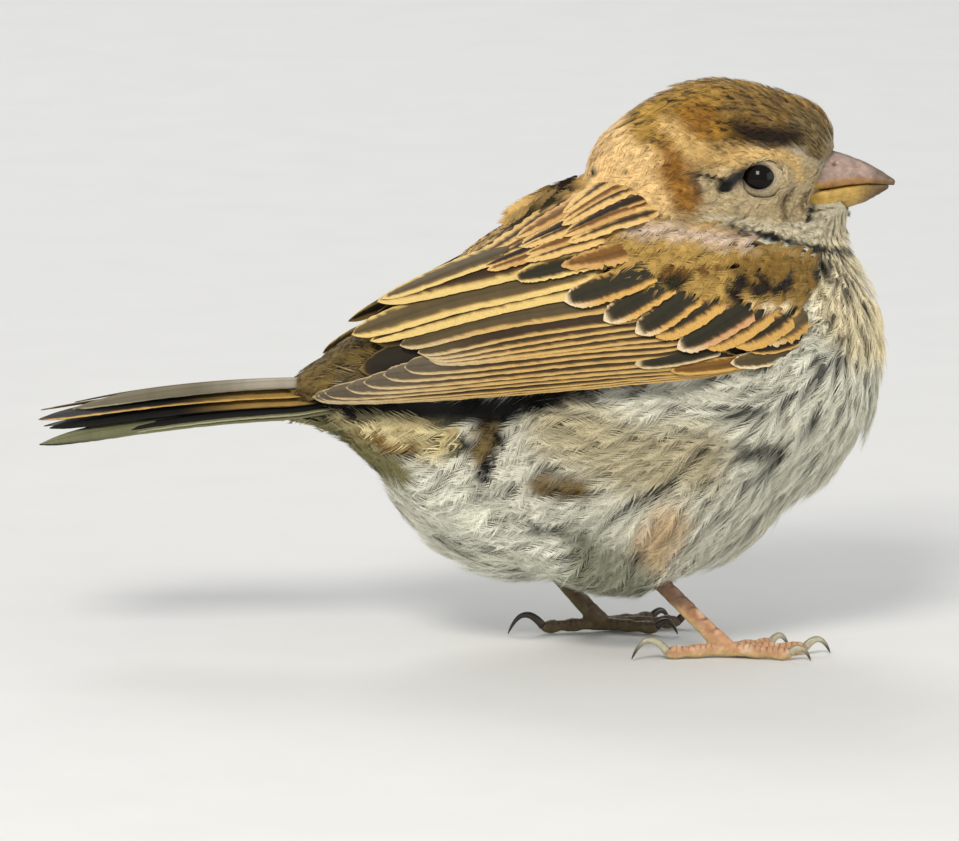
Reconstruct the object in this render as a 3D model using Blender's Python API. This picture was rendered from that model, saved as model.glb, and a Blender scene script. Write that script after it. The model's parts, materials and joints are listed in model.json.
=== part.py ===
"""House sparrow, life size, standing with its feathers fluffed.

A still model in named solids: head, neck, trunk, rump, undertail, wings, tail, bill, eyes, thighs, tarsi,
toes and claws. The bird faces +X, its left side is +Y, and it stands on z = 0. The build is in millimetres
and every point is scaled to metres where its mesh is made.
"""

import itertools
import math

import bmesh
import bpy
import numpy as np
from mathutils import Matrix, Vector

MM = 0.001
GAP = 0.3  # between two solids that meet
SIDES = (("right", -1.0), ("left", 1.0))
SHARP_ANGLE = math.radians(50)

# --- driving dimensions, in millimetres -------------------------------------------------------------------

# The feathered body as overlapping masses: name, centre (x, y, z), half sizes (along, across, up), pitch in
# degrees (nose up), then True where the mass has a twin on the other side.
MASSES = (
    ("breast", (39.2, 0.0, 44.2), (24.3, 21.0, 25.2), 0.0, False),
    ("belly", (26.5, 0.0, 31.5), (25.5, 21.5, 22.8), 0.0, False),
    ("shoulders", (29.0, 0.0, 50.0), (22.0, 19.5, 16.5), 18.0, False),
    ("back", (9.2, 0.0, 51.6), (24.0, 15.5, 12.2), 35.0, False),
    ("rump", (-10.0, 0.0, 43.4), (19.0, 8.5, 6.0), 15.0, False),
    ("vent", (4.5, 0.0, 25.5), (20.5, 14.0, 15.5), -34.0, False),
    ("undertail_fluff", (-5.5, 0.0, 28.5), (15.5, 8.5, 8.0), -36.0, False),
    ("undertail_tips", (-19.0, 0.0, 34.4), (14.5, 5.2, 3.2), -12.0, False),
    ("thigh_fluff", (22.0, 8.5, 15.5), (13.0, 7.0, 8.0), 0.0, True),
    ("neck", (33.5, 0.0, 63.0), (19.5, 14.0, 12.0), 0.0, False),
    ("nape", (28.4, 0.0, 70.6), (11.4, 11.2, 11.0), 0.0, False),
    ("crown", (37.4, 0.0, 73.8), (16.2, 11.3, 12.4), 0.0, False),
    ("cheek", (38.0, 4.0, 66.8), (11.5, 8.4, 7.2), 0.0, True),
    ("forehead", (47.8, 0.0, 75.0), (7.9, 7.8, 8.7), 0.0, False),
    ("throat", (49.5, 0.0, 65.5), (8.5, 8.2, 6.5), 0.0, False),
)
MASS_BALL = (48, 32)  # segments round and rings, of each mass before the masses are joined
BODY_VOXEL = 1.2
BODY_SMOOTHING = 14
BODY_KEEP = 0.047  # share of the remeshed faces that the solids keep

# Cuts between the flesh nodes: lines in the side view, each by (x, z) of its front or upper end, then of its
# other end.
HEAD_CUT = ((80.0, 57.4), (5.0, 69.4))
NECK_CUT = ((80.0, 53.5), (0.0, 65.2))
RUMP_CUT = ((-1.6, 70.0), (-7.0, 38.2))
VENT_CUT = ((-7.0, 38.2), (3.0, 0.0))
TAIL_PLANE = ((-7.0, 38.2), (-50.0, 36.4))
BODY_FRONT, BODY_BACK, BODY_TOP = 80.0, -50.0, 100.0  # limits past which no flesh reaches

# Each thigh is the part of the body inside a ball: its centre (x, y, z) and half sizes.
THIGH_CENTRE = {"right": (27.0, 10.5, 10.5), "left": (14.0, 10.0, 10.5)}
THIGH_HALF = (8.0, 6.0, 6.5)

EYE_CENTRE = (43.4, 7.6, 71.7)
EYE_RADIUS = 3.1
SMALL_BALL = (14, 8)  # segments round and rings, of the eyes, thigh balls and palms

# Bill stations: x, bottom z, top z, half width.
UPPER_BILL = (
    (50.2, 69.0, 74.6, 3.6),
    (53.5, 69.3, 74.9, 3.55),
    (56.5, 69.8, 74.0, 2.9),
    (59.3, 70.0, 72.9, 2.05),
    (61.8, 69.9, 71.5, 1.15),
    (63.7, 69.6, 70.2, 0.35),
)
LOWER_BILL = (
    (50.2, 65.2, 68.6, 3.4),
    (53.5, 65.4, 69.0, 3.25),
    (56.5, 66.0, 69.4, 2.55),
    (59.3, 66.9, 69.6, 1.75),
    (61.4, 68.1, 69.5, 0.95),
    (62.8, 69.0, 69.4, 0.3),
)

BILL_SIDES = 12
BILL_EDGE = 0.14  # share of each half's height that lies past its widest level, towards the other half
BILL_SQUARENESS = 0.85  # under 1, the sides are steeper than a circle's

# The folded wings and the back share one cowl: at each x, an ellipse in the plane across the bird.
# Stations: x, half width, height of the widest level, height of the ridge.
COWL = (
    (-26.0, 6.0, 37.6, 46.0),
    (-18.0, 8.8, 38.2, 51.0),
    (-8.0, 13.2, 39.6, 56.2),
    (4.0, 18.0, 41.8, 62.6),
    (16.0, 21.4, 43.6, 69.7),
    (30.0, 22.8, 45.2, 73.0),
    (42.0, 22.0, 48.0, 72.0),
    (53.0, 17.4, 51.5, 69.0),
)
COWL_TOP_SHARE = 0.985  # the share of its height at which the cowl stops short of its ridge
WING_THICKNESS = 1.7
WING_RIM_THICKNESS = 0.8  # at the wing's own border
WING_RIM = 4.0  # how far in from its border the wing reaches its full thickness
WING_LOWEST_TUCK = 0.10  # how far the cowl draws in below its widest level, per mm

# The folded wing in the side view, from its bend at the breast back along the lower edge to the tip and up
# over the tertials and scapulars.
WING_FRONT = ((52.6, 55.0), (51.4, 49.8), (46.0, 46.4))
WING_LOWER = ((38.0, 44.8), (26.0, 43.4), (12.0, 41.3), (-4.0, 39.2), (-18.0, 37.6))
WING_TIP = ((-23.4, 37.6), (-22.4, 39.6))
TERTIAL_EDGE = ((-12.5, 44.0), (-17.4, 47.2), (-13.4, 51.2))
WING_UPPER = ((-4.0, 54.6), (5.0, 59.2), (14.0, 63.6), (26.0, 65.6), (38.0, 65.2), (48.5, 61.6))
WING_BORDER = (*WING_FRONT, *WING_LOWER, *WING_TIP, *TERTIAL_EDGE, *WING_UPPER)

# Where one feather group overlaps the next, in the side view.
COVERT_LINE = ((46.0, 46.4), (34.0, 47.4), (24.0, 50.4), (15.5, 54.8))
TERTIAL_LINE = ((15.5, 54.8), (0.0, 49.8), (-12.5, 44.0))
PRIMARY_LINE = ((45.0, 46.2), (24.0, 45.4), (4.0, 43.0), (-9.5, 41.8), (-14.0, 41.8))
SCAPULAR_LINE = ((5.0, 57.0), (9.5, 58.0), (22.0, 60.6), (36.0, 61.0), (49.8, 59.2))
WING_REACH = 40.0  # half the width of the space that the wings need clear
WING_EDGE_STEP, WING_STEP_X, WING_STEP_Z = 8.0, 11.0, 8.0  # facet sizes
WING_SLIVER = 0.02  # facets narrower than this are closed up

# How far each feather group's outer face stands from the cowl.
WING_STEPS = {"coverts": 0.5, "scapulars": 0.6, "tertials": 0.2, "secondaries": -0.1, "primaries": -0.4}

# Tail feathers from the middle pair out: how far across the root and the tip lie, how far down the tip
# lies, and the x of the tip.
TAIL_ROOT = (-19.5, 39.4)  # x, z of the middle pair's root
TAIL_TIP_X = (-58.6, -62.0, -63.7, -61.6, -60.4, -63.4)
TAIL_ROOT_Y = (1.1, 1.7, 2.3, 2.9, 3.5, 4.0)
TAIL_TIP_Y = (2.9, 4.1, 5.2, 6.2, 7.1, 7.9)
TAIL_ROOT_DROP = (0.0, 0.5, 1.0, 1.5, 2.0, 2.5)
TAIL_SPLAY_DROP = (0.0, 0.15, 0.3, 0.45, 0.6, 0.8)
TAIL_SAG = 3.9  # how far the tip lies below the root's level
TAIL_SAG_POWER = 2.2  # the sag gathers towards the tip
TAIL_HALF_WIDTH = 2.8
TAIL_THICKNESS = 0.7
TAIL_TILT, TAIL_TILT_STEP = 0.22, 0.04  # each vane's slope down outward, and how much more on each next pair
# A tail feather's outline: the share of its length, and the share of its full width there.
TAIL_VANE = ((0.0, 0.55), (0.25, 0.8), (0.55, 0.95), (0.85, 1.0), (0.95, 0.72), (1.0, 0.22))
TAIL_CLEARANCE = 0.4
TAIL_CUT_ORDERS = (0, 2, 4, 5)  # the feathers whose roots are cut from the body, which covers all six

# Feet: where each tarsus meets its toes, and the toe directions in degrees from +X towards the outer side.
FOOT_JOINT = {"right": (38.4, -10.4, 2.1), "left": (20.0, 9.6, 2.1)}
ANKLE = {"right": (27.2, -9.6, 11.6), "left": (11.0, 8.8, 10.6)}
FOOT_TURN = {"right": -10.0, "left": 12.0}  # the whole foot's outward turn
# The tarsus: the share of the way from the ankle to the foot, and its radius there.
TARSUS_STATIONS = ((0.0, 1.4), (0.18, 1.3), (0.55, 1.16), (0.86, 1.3), (1.0, 1.3))
PALM = ((0.1, 0.0, 0.95), (2.3, 2.75, 1.35))  # centre from the joint, and half sizes
# Toe: name, angle, its root forward and outward of the joint, its bones' lengths, its radius at the root and
# at the end.
TOES = (
    ("toe_back", 180.0, -2.8, 0.0, (2.9, 2.9), 1.15, 0.95),
    ("toe_inner", -20.0, 1.9, -2.2, (3.0, 3.2), 0.9, 0.8),
    ("toe_middle", 0.0, 2.8, 0.0, (3.4, 3.2, 2.9), 0.95, 0.8),
    ("toe_outer", 15.0, 1.9, 2.2, (2.6, 2.4, 2.3), 0.88, 0.76),
)
TOE_PAD, TOE_WAIST = 1.08, 0.86  # the radius at a joint's pad and between two, against the mean
TOE_SOLE = 0.93  # a toe's middle lies at this share of its radius, so its sole is a narrow flat

CLAW_STEPS = 5
CLAW_TURN = math.radians(122)
CLAW_REACH, CLAW_LEAN = 0.62, 0.06  # how far forward the arc goes, and how far more at its tip, per length
CLAW_RISE_TURN, CLAW_RISE_START = 1.25, 0.15  # the arc's height follows a sine that starts part way up
CLAW_TAPER = 0.75
CLAW_TIP_RADIUS = 0.1
# Claws: length along the arc, height of the arc's top above the toe's end, root radius.
CLAWS = {
    "toe_back": (7.2, 2.1, 0.85),
    "toe_inner": (4.2, 1.3, 0.68),
    "toe_middle": (4.8, 1.5, 0.72),
    "toe_outer": (4.0, 1.2, 0.64),
}


# --- materials --------------------------------------------------------------------------------------------

MATERIALS = {
    "plumage_brown": ((0.36, 0.22, 0.11), 0.85),
    "plumage_grey": ((0.52, 0.48, 0.40), 0.9),
    "wing_feathers": ((0.26, 0.17, 0.10), 0.75),
    "tail_feathers": ((0.17, 0.14, 0.11), 0.75),
    "bill_horn": ((0.45, 0.30, 0.22), 0.4),
    "eye": ((0.012, 0.009, 0.008), 0.05),
    "leg_skin": ((0.55, 0.33, 0.25), 0.55),
    "claw_horn": ((0.14, 0.11, 0.09), 0.4),
}


def material(name):
    """The named Principled material, made the first time it is asked for."""
    found = bpy.data.materials.get(name)
    if found:
        return found
    colour, roughness = MATERIALS[name]
    made = bpy.data.materials.new(name)
    made.use_nodes = True
    shader = made.node_tree.nodes["Principled BSDF"]
    shader.inputs["Base Color"].default_value = (*colour, 1.0)
    shader.inputs["Roughness"].default_value = roughness
    shader.inputs["Metallic"].default_value = 0.0
    return made


# --- helpers ----------------------------------------------------------------------------------------------


def object_of(name, mesh_data, material_name=None, helper=False):
    """A linked object for a bmesh built in millimetres. A helper is left out of the solids."""
    bmesh.ops.recalc_face_normals(mesh_data, faces=mesh_data.faces)
    if mesh_data.calc_volume(signed=True) < 0:
        bmesh.ops.reverse_faces(mesh_data, faces=mesh_data.faces)
    mesh_data.transform(Matrix.Scale(MM, 4))
    mesh = bpy.data.meshes.new(name)
    mesh_data.to_mesh(mesh)
    mesh_data.free()
    made = bpy.data.objects.new(name, mesh)
    bpy.context.scene.collection.objects.link(made)
    if helper:
        made.hide_render = True
        made.display_type = "WIRE"
    else:
        mesh.shade_smooth()
        mesh.set_sharp_from_angle(angle=SHARP_ANGLE)
        mesh.materials.append(material(material_name))
    return made


def loft(rings):
    """A closed bmesh through rings of the same number of points, flat at both ends."""
    made = bmesh.new()
    rows = [[made.verts.new(point) for point in ring] for ring in rings]
    count = len(rows[0])
    for row, following in zip(rows, rows[1:]):
        for i in range(count):
            j = (i + 1) % count
            made.faces.new((row[i], row[j], following[j], following[i]))
    made.faces.new(rows[0])
    made.faces.new(rows[-1])
    bmesh.ops.recalc_face_normals(made, faces=made.faces)
    return made


def tube(path, radii, sides=8, flatten=1.0, floor=None):
    """A closed tube along a path in a vertical plane. flatten narrows it across; floor is its lowest z."""
    points = [Vector(p) for p in path]
    rings = []
    for i, point in enumerate(points):
        ahead = points[min(i + 1, len(points) - 1)] - points[max(i - 1, 0)]
        across = Vector((-ahead.y, ahead.x, 0.0)).normalized()
        up = ahead.cross(across).normalized() * -1.0
        ring = []
        for k in range(sides):
            angle = 2 * math.pi * (k + 0.5) / sides
            at = point + radii[i] * (math.cos(angle) * across * flatten + math.sin(angle) * up)
            if floor is not None:
                at.z = max(at.z, floor)
            ring.append(at)
        rings.append(ring)
    return loft(rings)


def smooth_curve(stations):
    """A function of x through stations (x, value, ...), by monotone cubic pieces, one array per value."""
    table = np.array(sorted(stations), float)
    xs, values = table[:, 0], table[:, 1:]
    steps = np.diff(xs)[:, None]
    slopes = np.diff(values, axis=0) / steps
    inner = np.where(slopes[:-1] * slopes[1:] > 0, 2 * slopes[:-1] * slopes[1:], 0.0)
    inner = inner / np.where(inner != 0, slopes[:-1] + slopes[1:], 1.0)
    tangents = np.vstack([slopes[:1], inner, slopes[-1:]])

    def at(x):
        x = min(max(x, xs[0]), xs[-1])
        i = min(int(np.searchsorted(xs, x, side="right")) - 1, len(xs) - 2)
        h = xs[i + 1] - xs[i]
        t = (x - xs[i]) / h
        return (
            (2 * t**3 - 3 * t**2 + 1) * values[i]
            + (t**3 - 2 * t**2 + t) * h * tangents[i]
            + (3 * t**2 - 2 * t**3) * values[i + 1]
            + (t**3 - t**2) * h * tangents[i + 1]
        )

    return at


def small_ball(place, half):
    """A bmesh ball of the given half sizes, with its poles along the place's own Z."""
    ball = bmesh.new()
    segments, rings = SMALL_BALL
    matrix = place @ Matrix.Diagonal((*half, 1.0))
    bmesh.ops.create_uvsphere(ball, u_segments=segments, v_segments=rings, radius=1.0, matrix=matrix)
    return ball


def side_prism(name, outline, low=-60.0, high=60.0):
    """A hidden cutter: an outline of (x, z) points, extruded across the bird from y = low to y = high."""
    rings = [[Vector((x, y, z)) for x, z in outline] for y in (low, high)]
    return object_of(name, loft(rings), helper=True)


def moved_line(line, distance):
    """The line's two (x, z) ends, moved to its left as it runs."""
    (ax, az), (bx, bz) = line
    length = math.hypot(bx - ax, bz - az)
    nx, nz = -(bz - az) / length * distance, (bx - ax) / length * distance
    return (ax + nx, az + nz), (bx + nx, bz + nz)


def crossing(first, second):
    """Where two lines of (x, z) ends cross."""
    (ax, az), (bx, bz) = first
    (cx, cz), (dx, dz) = second
    turn = (bx - ax) * (dz - cz) - (bz - az) * (dx - cx)
    share = ((cx - ax) * (dz - cz) - (cz - az) * (dx - cx)) / turn
    return ax + share * (bx - ax), az + share * (bz - az)


def boolean(target, operation, cutter):
    """Adds an exact Boolean with the cutter to the target's modifiers."""
    made = target.modifiers.new(f"{operation.lower()} {cutter.name}", "BOOLEAN")
    made.operation = operation
    made.object = cutter
    made.solver = "EXACT"


# --- body -------------------------------------------------------------------------------------------------


def body_masses():
    """A hidden object of all the overlapping masses, whose mesh the flesh nodes share."""
    ball = bmesh.new()
    segments, rings = MASS_BALL
    bmesh.ops.create_uvsphere(ball, u_segments=segments, v_segments=rings, radius=1.0)
    unit = bpy.data.meshes.new("unit_ball")
    ball.to_mesh(unit)
    ball.free()
    made = bmesh.new()
    for _, (x, y, z), half, pitch, twin in MASSES:
        for side in (-1, 1) if twin else (1,):
            place = (
                Matrix.Translation((x, y * side, z))
                @ Matrix.Rotation(math.radians(-pitch), 4, "Y")
                @ Matrix.Diagonal((*half, 1.0))
            )
            earlier = len(made.verts)
            made.from_mesh(unit)
            made.verts.ensure_lookup_table()
            bmesh.ops.transform(made, matrix=place, verts=made.verts[earlier:])
    bpy.data.meshes.remove(unit)
    return object_of("body_masses", made, helper=True)


def flesh_node(name, masses, material_name, cell, cutters):
    """The part of the whole body inside its cell, less the cutters."""
    made = bpy.data.objects.new(name, masses.data.copy())
    bpy.context.scene.collection.objects.link(made)
    made.data.materials.append(material(material_name))
    remesh = made.modifiers.new("one skin", "REMESH")
    remesh.mode = "VOXEL"
    remesh.voxel_size = BODY_VOXEL * MM
    remesh.use_smooth_shade = True
    smooth = made.modifiers.new("soft joins", "SMOOTH")
    smooth.iterations = BODY_SMOOTHING
    smooth.factor = 0.5
    thin = made.modifiers.new("fewer faces", "DECIMATE")
    thin.ratio = BODY_KEEP
    thin.use_symmetry = True
    thin.symmetry_axis = "Y"
    boolean(made, "INTERSECT", cell)
    for cutter in cutters:
        boolean(made, "DIFFERENCE", cutter)
    return made


def body_cells():
    """The side-view cell of each flesh node. Neighbours stand GAP apart."""
    half = GAP / 2
    head_low, neck_high = moved_line(HEAD_CUT, -half), moved_line(HEAD_CUT, half)
    neck_low, trunk_high = moved_line(NECK_CUT, -half), moved_line(NECK_CUT, half)
    trunk_rump, rump_front = moved_line(RUMP_CUT, half), moved_line(RUMP_CUT, -half)
    trunk_vent, vent_front = moved_line(VENT_CUT, half), moved_line(VENT_CUT, -half)
    rump_low, vent_high = moved_line(TAIL_PLANE, -half), moved_line(TAIL_PLANE, half)
    return {
        "head": [*head_low, (BODY_BACK, BODY_TOP), (BODY_FRONT, BODY_TOP)],
        "neck": [*neck_high, *reversed(neck_low)],
        "trunk": [
            trunk_high[0],
            crossing(trunk_high, trunk_rump),
            crossing(trunk_rump, trunk_vent),
            trunk_vent[1],
            (BODY_FRONT, 0.0),
        ],
        "rump": [
            rump_front[0],
            crossing(rump_front, rump_low),
            rump_low[1],
            (BODY_BACK, rump_front[0][1]),
        ],
        "undertail": [
            vent_high[1],
            crossing(vent_front, vent_high),
            vent_front[1],
            (BODY_BACK, 0.0),
        ],
    }


# --- wings ------------------------------------------------------------------------------------------------

cowl_at = smooth_curve(COWL)


def cowl_y(x, z, outward):
    """The cowl's half width at (x, z), moved outward."""
    half_width, level, ridge = cowl_at(x)
    if z <= level:
        return half_width + outward - WING_LOWEST_TUCK * (level - z)
    share = min((z - level) / (ridge + outward - level), COWL_TOP_SHARE)
    return (half_width + outward) * math.sqrt(1.0 - share * share)


def resampled(outline, step):
    """The closed outline with a point at least every step."""
    points = []
    for (ax, az), (bx, bz) in zip(outline, outline[1:] + outline[:1]):
        parts = max(1, math.ceil(math.hypot(bx - ax, bz - az) / step))
        points += [(ax + (bx - ax) * k / parts, az + (bz - az) * k / parts) for k in range(parts)]
    return points


def cut_plane(made, point, normal):
    """Adds a line of edges where a plane meets the bmesh."""
    geometry = list(made.verts) + list(made.edges) + list(made.faces)
    bmesh.ops.bisect_plane(made, geom=geometry, dist=1e-4, plane_co=point, plane_no=normal)


def gridded_outline(outline):
    """A flat bmesh of the outline in the plane y = 0, cut into facets small enough to bend."""
    made = bmesh.new()
    made.faces.new([made.verts.new((x, 0.0, z)) for x, z in resampled(outline, WING_EDGE_STEP)])
    made.normal_update()
    bmesh.ops.triangulate(made, faces=made.faces)
    xs, zs = [v.co.x for v in made.verts], [v.co.z for v in made.verts]
    for x in np.arange(math.floor(min(xs) / WING_STEP_X) * WING_STEP_X, max(xs), WING_STEP_X):
        cut_plane(made, (x, 0, 0), (1, 0, 0))
    for z in np.arange(math.floor(min(zs) / WING_STEP_Z) * WING_STEP_Z, max(zs), WING_STEP_Z):
        cut_plane(made, (0, 0, z), (0, 0, 1))
    bmesh.ops.dissolve_degenerate(made, dist=WING_SLIVER, edges=made.edges)
    bmesh.ops.triangulate(made, faces=made.faces)
    return made


def wing_plate(outline, side, outer, inner):
    """A bmesh of the outline between two faces, each a function giving the half width at (x, z)."""
    made = gridded_outline(outline)
    front = list(made.verts)
    rim = [edge for edge in made.edges if edge.is_boundary]
    shell = front + list(made.edges) + list(made.faces)
    copied = bmesh.ops.duplicate(made, geom=shell)["vert_map"]
    twins = {vertex: copied[vertex] for vertex in front}
    for edge in rim:
        a, b = edge.verts
        made.faces.new((a, b, twins[b], twins[a]))
    for first, second in twins.items():
        x, z = first.co.x, first.co.z
        first.co.y = side * outer(x, z)
        second.co.y = side * inner(x, z)
    return made


def raised(line, up):
    """The line's (x, z) points, moved up."""
    return [(x, z + up) for x, z in line]


def wing_outlines():
    """Each feather group's outline in the side view, with GAP between neighbours."""
    half = GAP / 2
    coverts = [*WING_FRONT[:2], *raised(COVERT_LINE, GAP), *raised(SCAPULAR_LINE[1:], -half)]
    scapulars = [*raised(reversed(SCAPULAR_LINE), half), *WING_UPPER[1:]]
    secondaries = [
        *raised(reversed(PRIMARY_LINE[1:]), half),
        *raised(COVERT_LINE[1:], -half),
        *raised(TERTIAL_LINE[1:], -half),
    ]
    tertials = [
        *raised(reversed(TERTIAL_LINE), half),
        *raised(reversed(SCAPULAR_LINE[:2]), -half),
        WING_UPPER[0],
        *reversed(TERTIAL_EDGE[1:]),
    ]
    primaries = [WING_FRONT[2], *WING_LOWER, *WING_TIP, *raised(reversed(PRIMARY_LINE), -half)]
    return {
        "coverts": coverts,
        "scapulars": scapulars,
        "secondaries": secondaries,
        "tertials": tertials,
        "primaries": primaries,
    }


def grown(outline, distance):
    """The outline moved outward, each point along the mean of its two edges' normals."""
    points = [Vector(p) for p in outline]
    area = sum(a.cross(b) for a, b in zip(points, points[1:] + points[:1]))
    turn = 1.0 if area > 0 else -1.0
    made = []
    for i, point in enumerate(points):
        before = (point - points[i - 1]).normalized()
        after = (points[(i + 1) % len(points)] - point).normalized()
        mean = Vector((before.y + after.y, -before.x - after.x)) * turn
        made.append(tuple(point + mean.normalized() * distance))
    return made


def border_distance(x, z):
    """How far (x, z) is from the border of the whole wing in the side view."""
    point = Vector((x, z))
    distances = []
    for first, second in zip(WING_BORDER, WING_BORDER[1:] + WING_BORDER[:1]):
        start, run = Vector(first), Vector(second) - Vector(first)
        share = min(max((point - start).dot(run) / run.length_squared, 0.0), 1.0)
        distances.append((point - start - run * share).length)
    return min(distances)


def cowl_face(outward):
    """A wing face that stands this far outside the cowl."""
    return lambda x, z: cowl_y(x, z, outward)


def outer_face(step):
    """The outer face of a feather group, drawn in where it nears the wing's border."""

    def face(x, z):
        drawn_in = (WING_THICKNESS - WING_RIM_THICKNESS) * max(1.0 - border_distance(x, z) / WING_RIM, 0.0)
        return cowl_y(x, z, step - drawn_in)

    return face


def wing(side_name, side):
    """The feather groups of one wing, and the cutter that keeps the body clear of them."""
    for group, outline in wing_outlines().items():
        step = WING_STEPS[group]
        mesh_data = wing_plate(outline, side, outer_face(step), cowl_face(step - WING_THICKNESS))
        object_of(f"wing_{side_name}_{group}", mesh_data, "wing_feathers")
    under = cowl_face(min(WING_STEPS.values()) - WING_THICKNESS - GAP)
    clearance = wing_plate(grown(list(WING_BORDER), GAP), side, lambda x, z: WING_REACH, under)
    return object_of(f"wing_{side_name}_clearance", clearance, helper=True)


# --- tail -------------------------------------------------------------------------------------------------


def tail_line(order, side, share):
    """A tail feather's middle at a share of its length, from its root (0) to its tip (1)."""
    root_x, root_z = TAIL_ROOT
    x = root_x + (TAIL_TIP_X[order] - root_x) * share
    y = side * (TAIL_ROOT_Y[order] + (TAIL_TIP_Y[order] - TAIL_ROOT_Y[order]) * share)
    drop = TAIL_ROOT_DROP[order] + TAIL_SPLAY_DROP[order] * share + TAIL_SAG * share**TAIL_SAG_POWER
    return Vector((x, y, root_z - drop))


def tail_feather(order, side, grow=0.0):
    """A bmesh of one tail feather: a thin blade with a rounded tip, clear of the bird's middle plane."""
    rings = []
    slope = TAIL_TILT + TAIL_TILT_STEP * order
    thick = TAIL_THICKNESS / 2 + grow
    for share, width in TAIL_VANE:
        middle = tail_line(order, side, share)
        half = TAIL_HALF_WIDTH * width
        inner = max(side * middle.y - half, GAP / 2 - grow)
        outer = max(side * middle.y + half, inner + GAP) + grow
        ring = []
        for y, up in ((inner, 1), (outer, 1), (outer, -1), (inner, -1)):
            z = middle.z - (y - side * middle.y) * slope + up * thick
            ring.append(Vector((middle.x, side * y, z)))
        rings.append(ring)
    return loft(rings)


def tail_group(name, orders, side):
    """The feathers of these orders on one side, joined into one solid."""
    made = object_of(name, tail_feather(orders[0], side), "tail_feathers")
    for order in orders[1:]:
        cutter = object_of(f"{name}_blade_{order}", tail_feather(order, side), helper=True)
        boolean(made, "UNION", cutter)
    return made


def tail():
    """Two groups of six feathers, and the cutters that keep the body clear of their roots."""
    clearances = []
    for side_name, side in SIDES:
        tail_group(f"tail_{side_name}", range(len(TAIL_TIP_X)), side)
        for order in TAIL_CUT_ORDERS:
            mesh_data = tail_feather(order, side, grow=TAIL_CLEARANCE)
            bmesh.ops.translate(mesh_data, verts=mesh_data.verts, vec=(TAIL_CLEARANCE, 0.0, 0.0))
            name = f"tail_{side_name}_clearance_{order}"
            clearances.append(object_of(name, mesh_data, helper=True))
    return clearances


# --- bill and eyes ----------------------------------------------------------------------------------------


def bill_rings(stations, upper, grow):
    """Rings through the bill's stations: round on the free side, nearly flat where the two halves meet."""
    rings = []
    for x, low, high, half in stations:
        ring = []
        for k in range(BILL_SIDES):
            angle = 2 * math.pi * k / BILL_SIDES
            across, bulge = math.cos(angle), math.sin(angle)
            bulge = bulge * (1.0 - BILL_EDGE) if bulge > 0 else bulge * BILL_EDGE
            height = (high - low) * (BILL_EDGE + bulge)
            z = low + height if upper else high - height
            y = half * math.copysign(abs(across) ** BILL_SQUARENESS, across)
            z += math.copysign(grow, z - (low + high) / 2)
            ring.append(Vector((x, y + math.copysign(grow, y), z)))
        rings.append(ring)
    return rings


def bill():
    """The two halves of the bill, and the cutters that keep the head clear of their roots."""
    clearances = []
    for name, stations, upper in (("upper_bill", UPPER_BILL, True), ("lower_bill", LOWER_BILL, False)):
        object_of(name, loft(bill_rings(stations, upper, 0.0)), "bill_horn")
        rings = bill_rings(stations, upper, GAP)
        for point in rings[0]:
            point.x -= GAP
        clearances.append(object_of(f"{name}_clearance", loft(rings), helper=True))
    return clearances


def eyes():
    """Both eyes, and the cutters of their sockets."""
    clearances = []
    x, y, z = EYE_CENTRE
    for side_name, side in SIDES:
        place = Matrix.Translation((x, y * side, z)) @ Matrix.Rotation(math.pi / 2, 4, "X")
        object_of(f"eye_{side_name}", small_ball(place, (EYE_RADIUS,) * 3), "eye")
        socket = small_ball(place, (EYE_RADIUS + GAP,) * 3)
        clearances.append(object_of(f"eye_{side_name}_socket", socket, helper=True))
    return clearances


# --- legs -------------------------------------------------------------------------------------------------


def heading(side_name, side, angle):
    """A toe's direction on the ground: its own angle and the foot's, both turned outward."""
    turn = math.radians(angle + FOOT_TURN[side_name]) * side
    return Vector((math.cos(turn), math.sin(turn), 0.0))


def toe_path(start, direction, bones, radii):
    """Points and radii along a toe: thick at each joint's pad, slimmer between."""
    total = sum(bones)
    stops = [0.0, *itertools.accumulate(bones)]
    stations = []
    for begin, end in zip(stops, stops[1:]):
        stations += [(begin, TOE_PAD), ((begin + end) / 2, TOE_WAIST)]
    stations.append((total, 1.0))
    path, thick = [], []
    for along, swell in stations:
        radius = (radii[0] + (radii[1] - radii[0]) * along / total) * swell
        at = start + direction * along
        path.append((at.x, at.y, radius * TOE_SOLE))
        thick.append(radius)
    return path, thick


def claw_path(start, direction, length, rise, radius):
    """A claw's arc, from the toe's end up and over to the ground."""
    path, thick = [], []
    fall = start.z + rise * CLAW_REACH / 2
    for step in range(CLAW_STEPS + 1):
        share = step / CLAW_STEPS
        turn = share * CLAW_TURN
        forward = length * (CLAW_REACH * math.sin(turn) + CLAW_LEAN * share)
        up = rise * math.sin(turn * CLAW_RISE_TURN + CLAW_RISE_START) - share**2 * fall
        at = start + direction * forward
        thick.append(radius * (1.0 - share) ** CLAW_TAPER + CLAW_TIP_RADIUS)
        path.append((at.x, at.y, max(start.z + up, thick[-1])))
    return path, thick


def tarsus(side_name, grow=0.0):
    """A bmesh of the tarsus. A grown one also reaches further up."""
    joint = Vector(FOOT_JOINT[side_name])
    ankle = Vector(ANKLE[side_name])
    ankle = ankle + (ankle - joint).normalized() * grow
    shaft = [ankle.lerp(joint, share) for share, _ in TARSUS_STATIONS]
    return tube(shaft, [radius + grow for _, radius in TARSUS_STATIONS], floor=0.0)


def palm_pad(side_name, joint):
    """A hidden flat-soled pad where the toes meet."""
    (x, y, z), half = PALM
    pad = small_ball(Matrix.Translation((joint.x + x, joint.y + y, z)), half)
    for vertex in pad.verts:
        vertex.co.z = max(vertex.co.z, 0.0)
    return object_of(f"palm_{side_name}", pad, helper=True)


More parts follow.
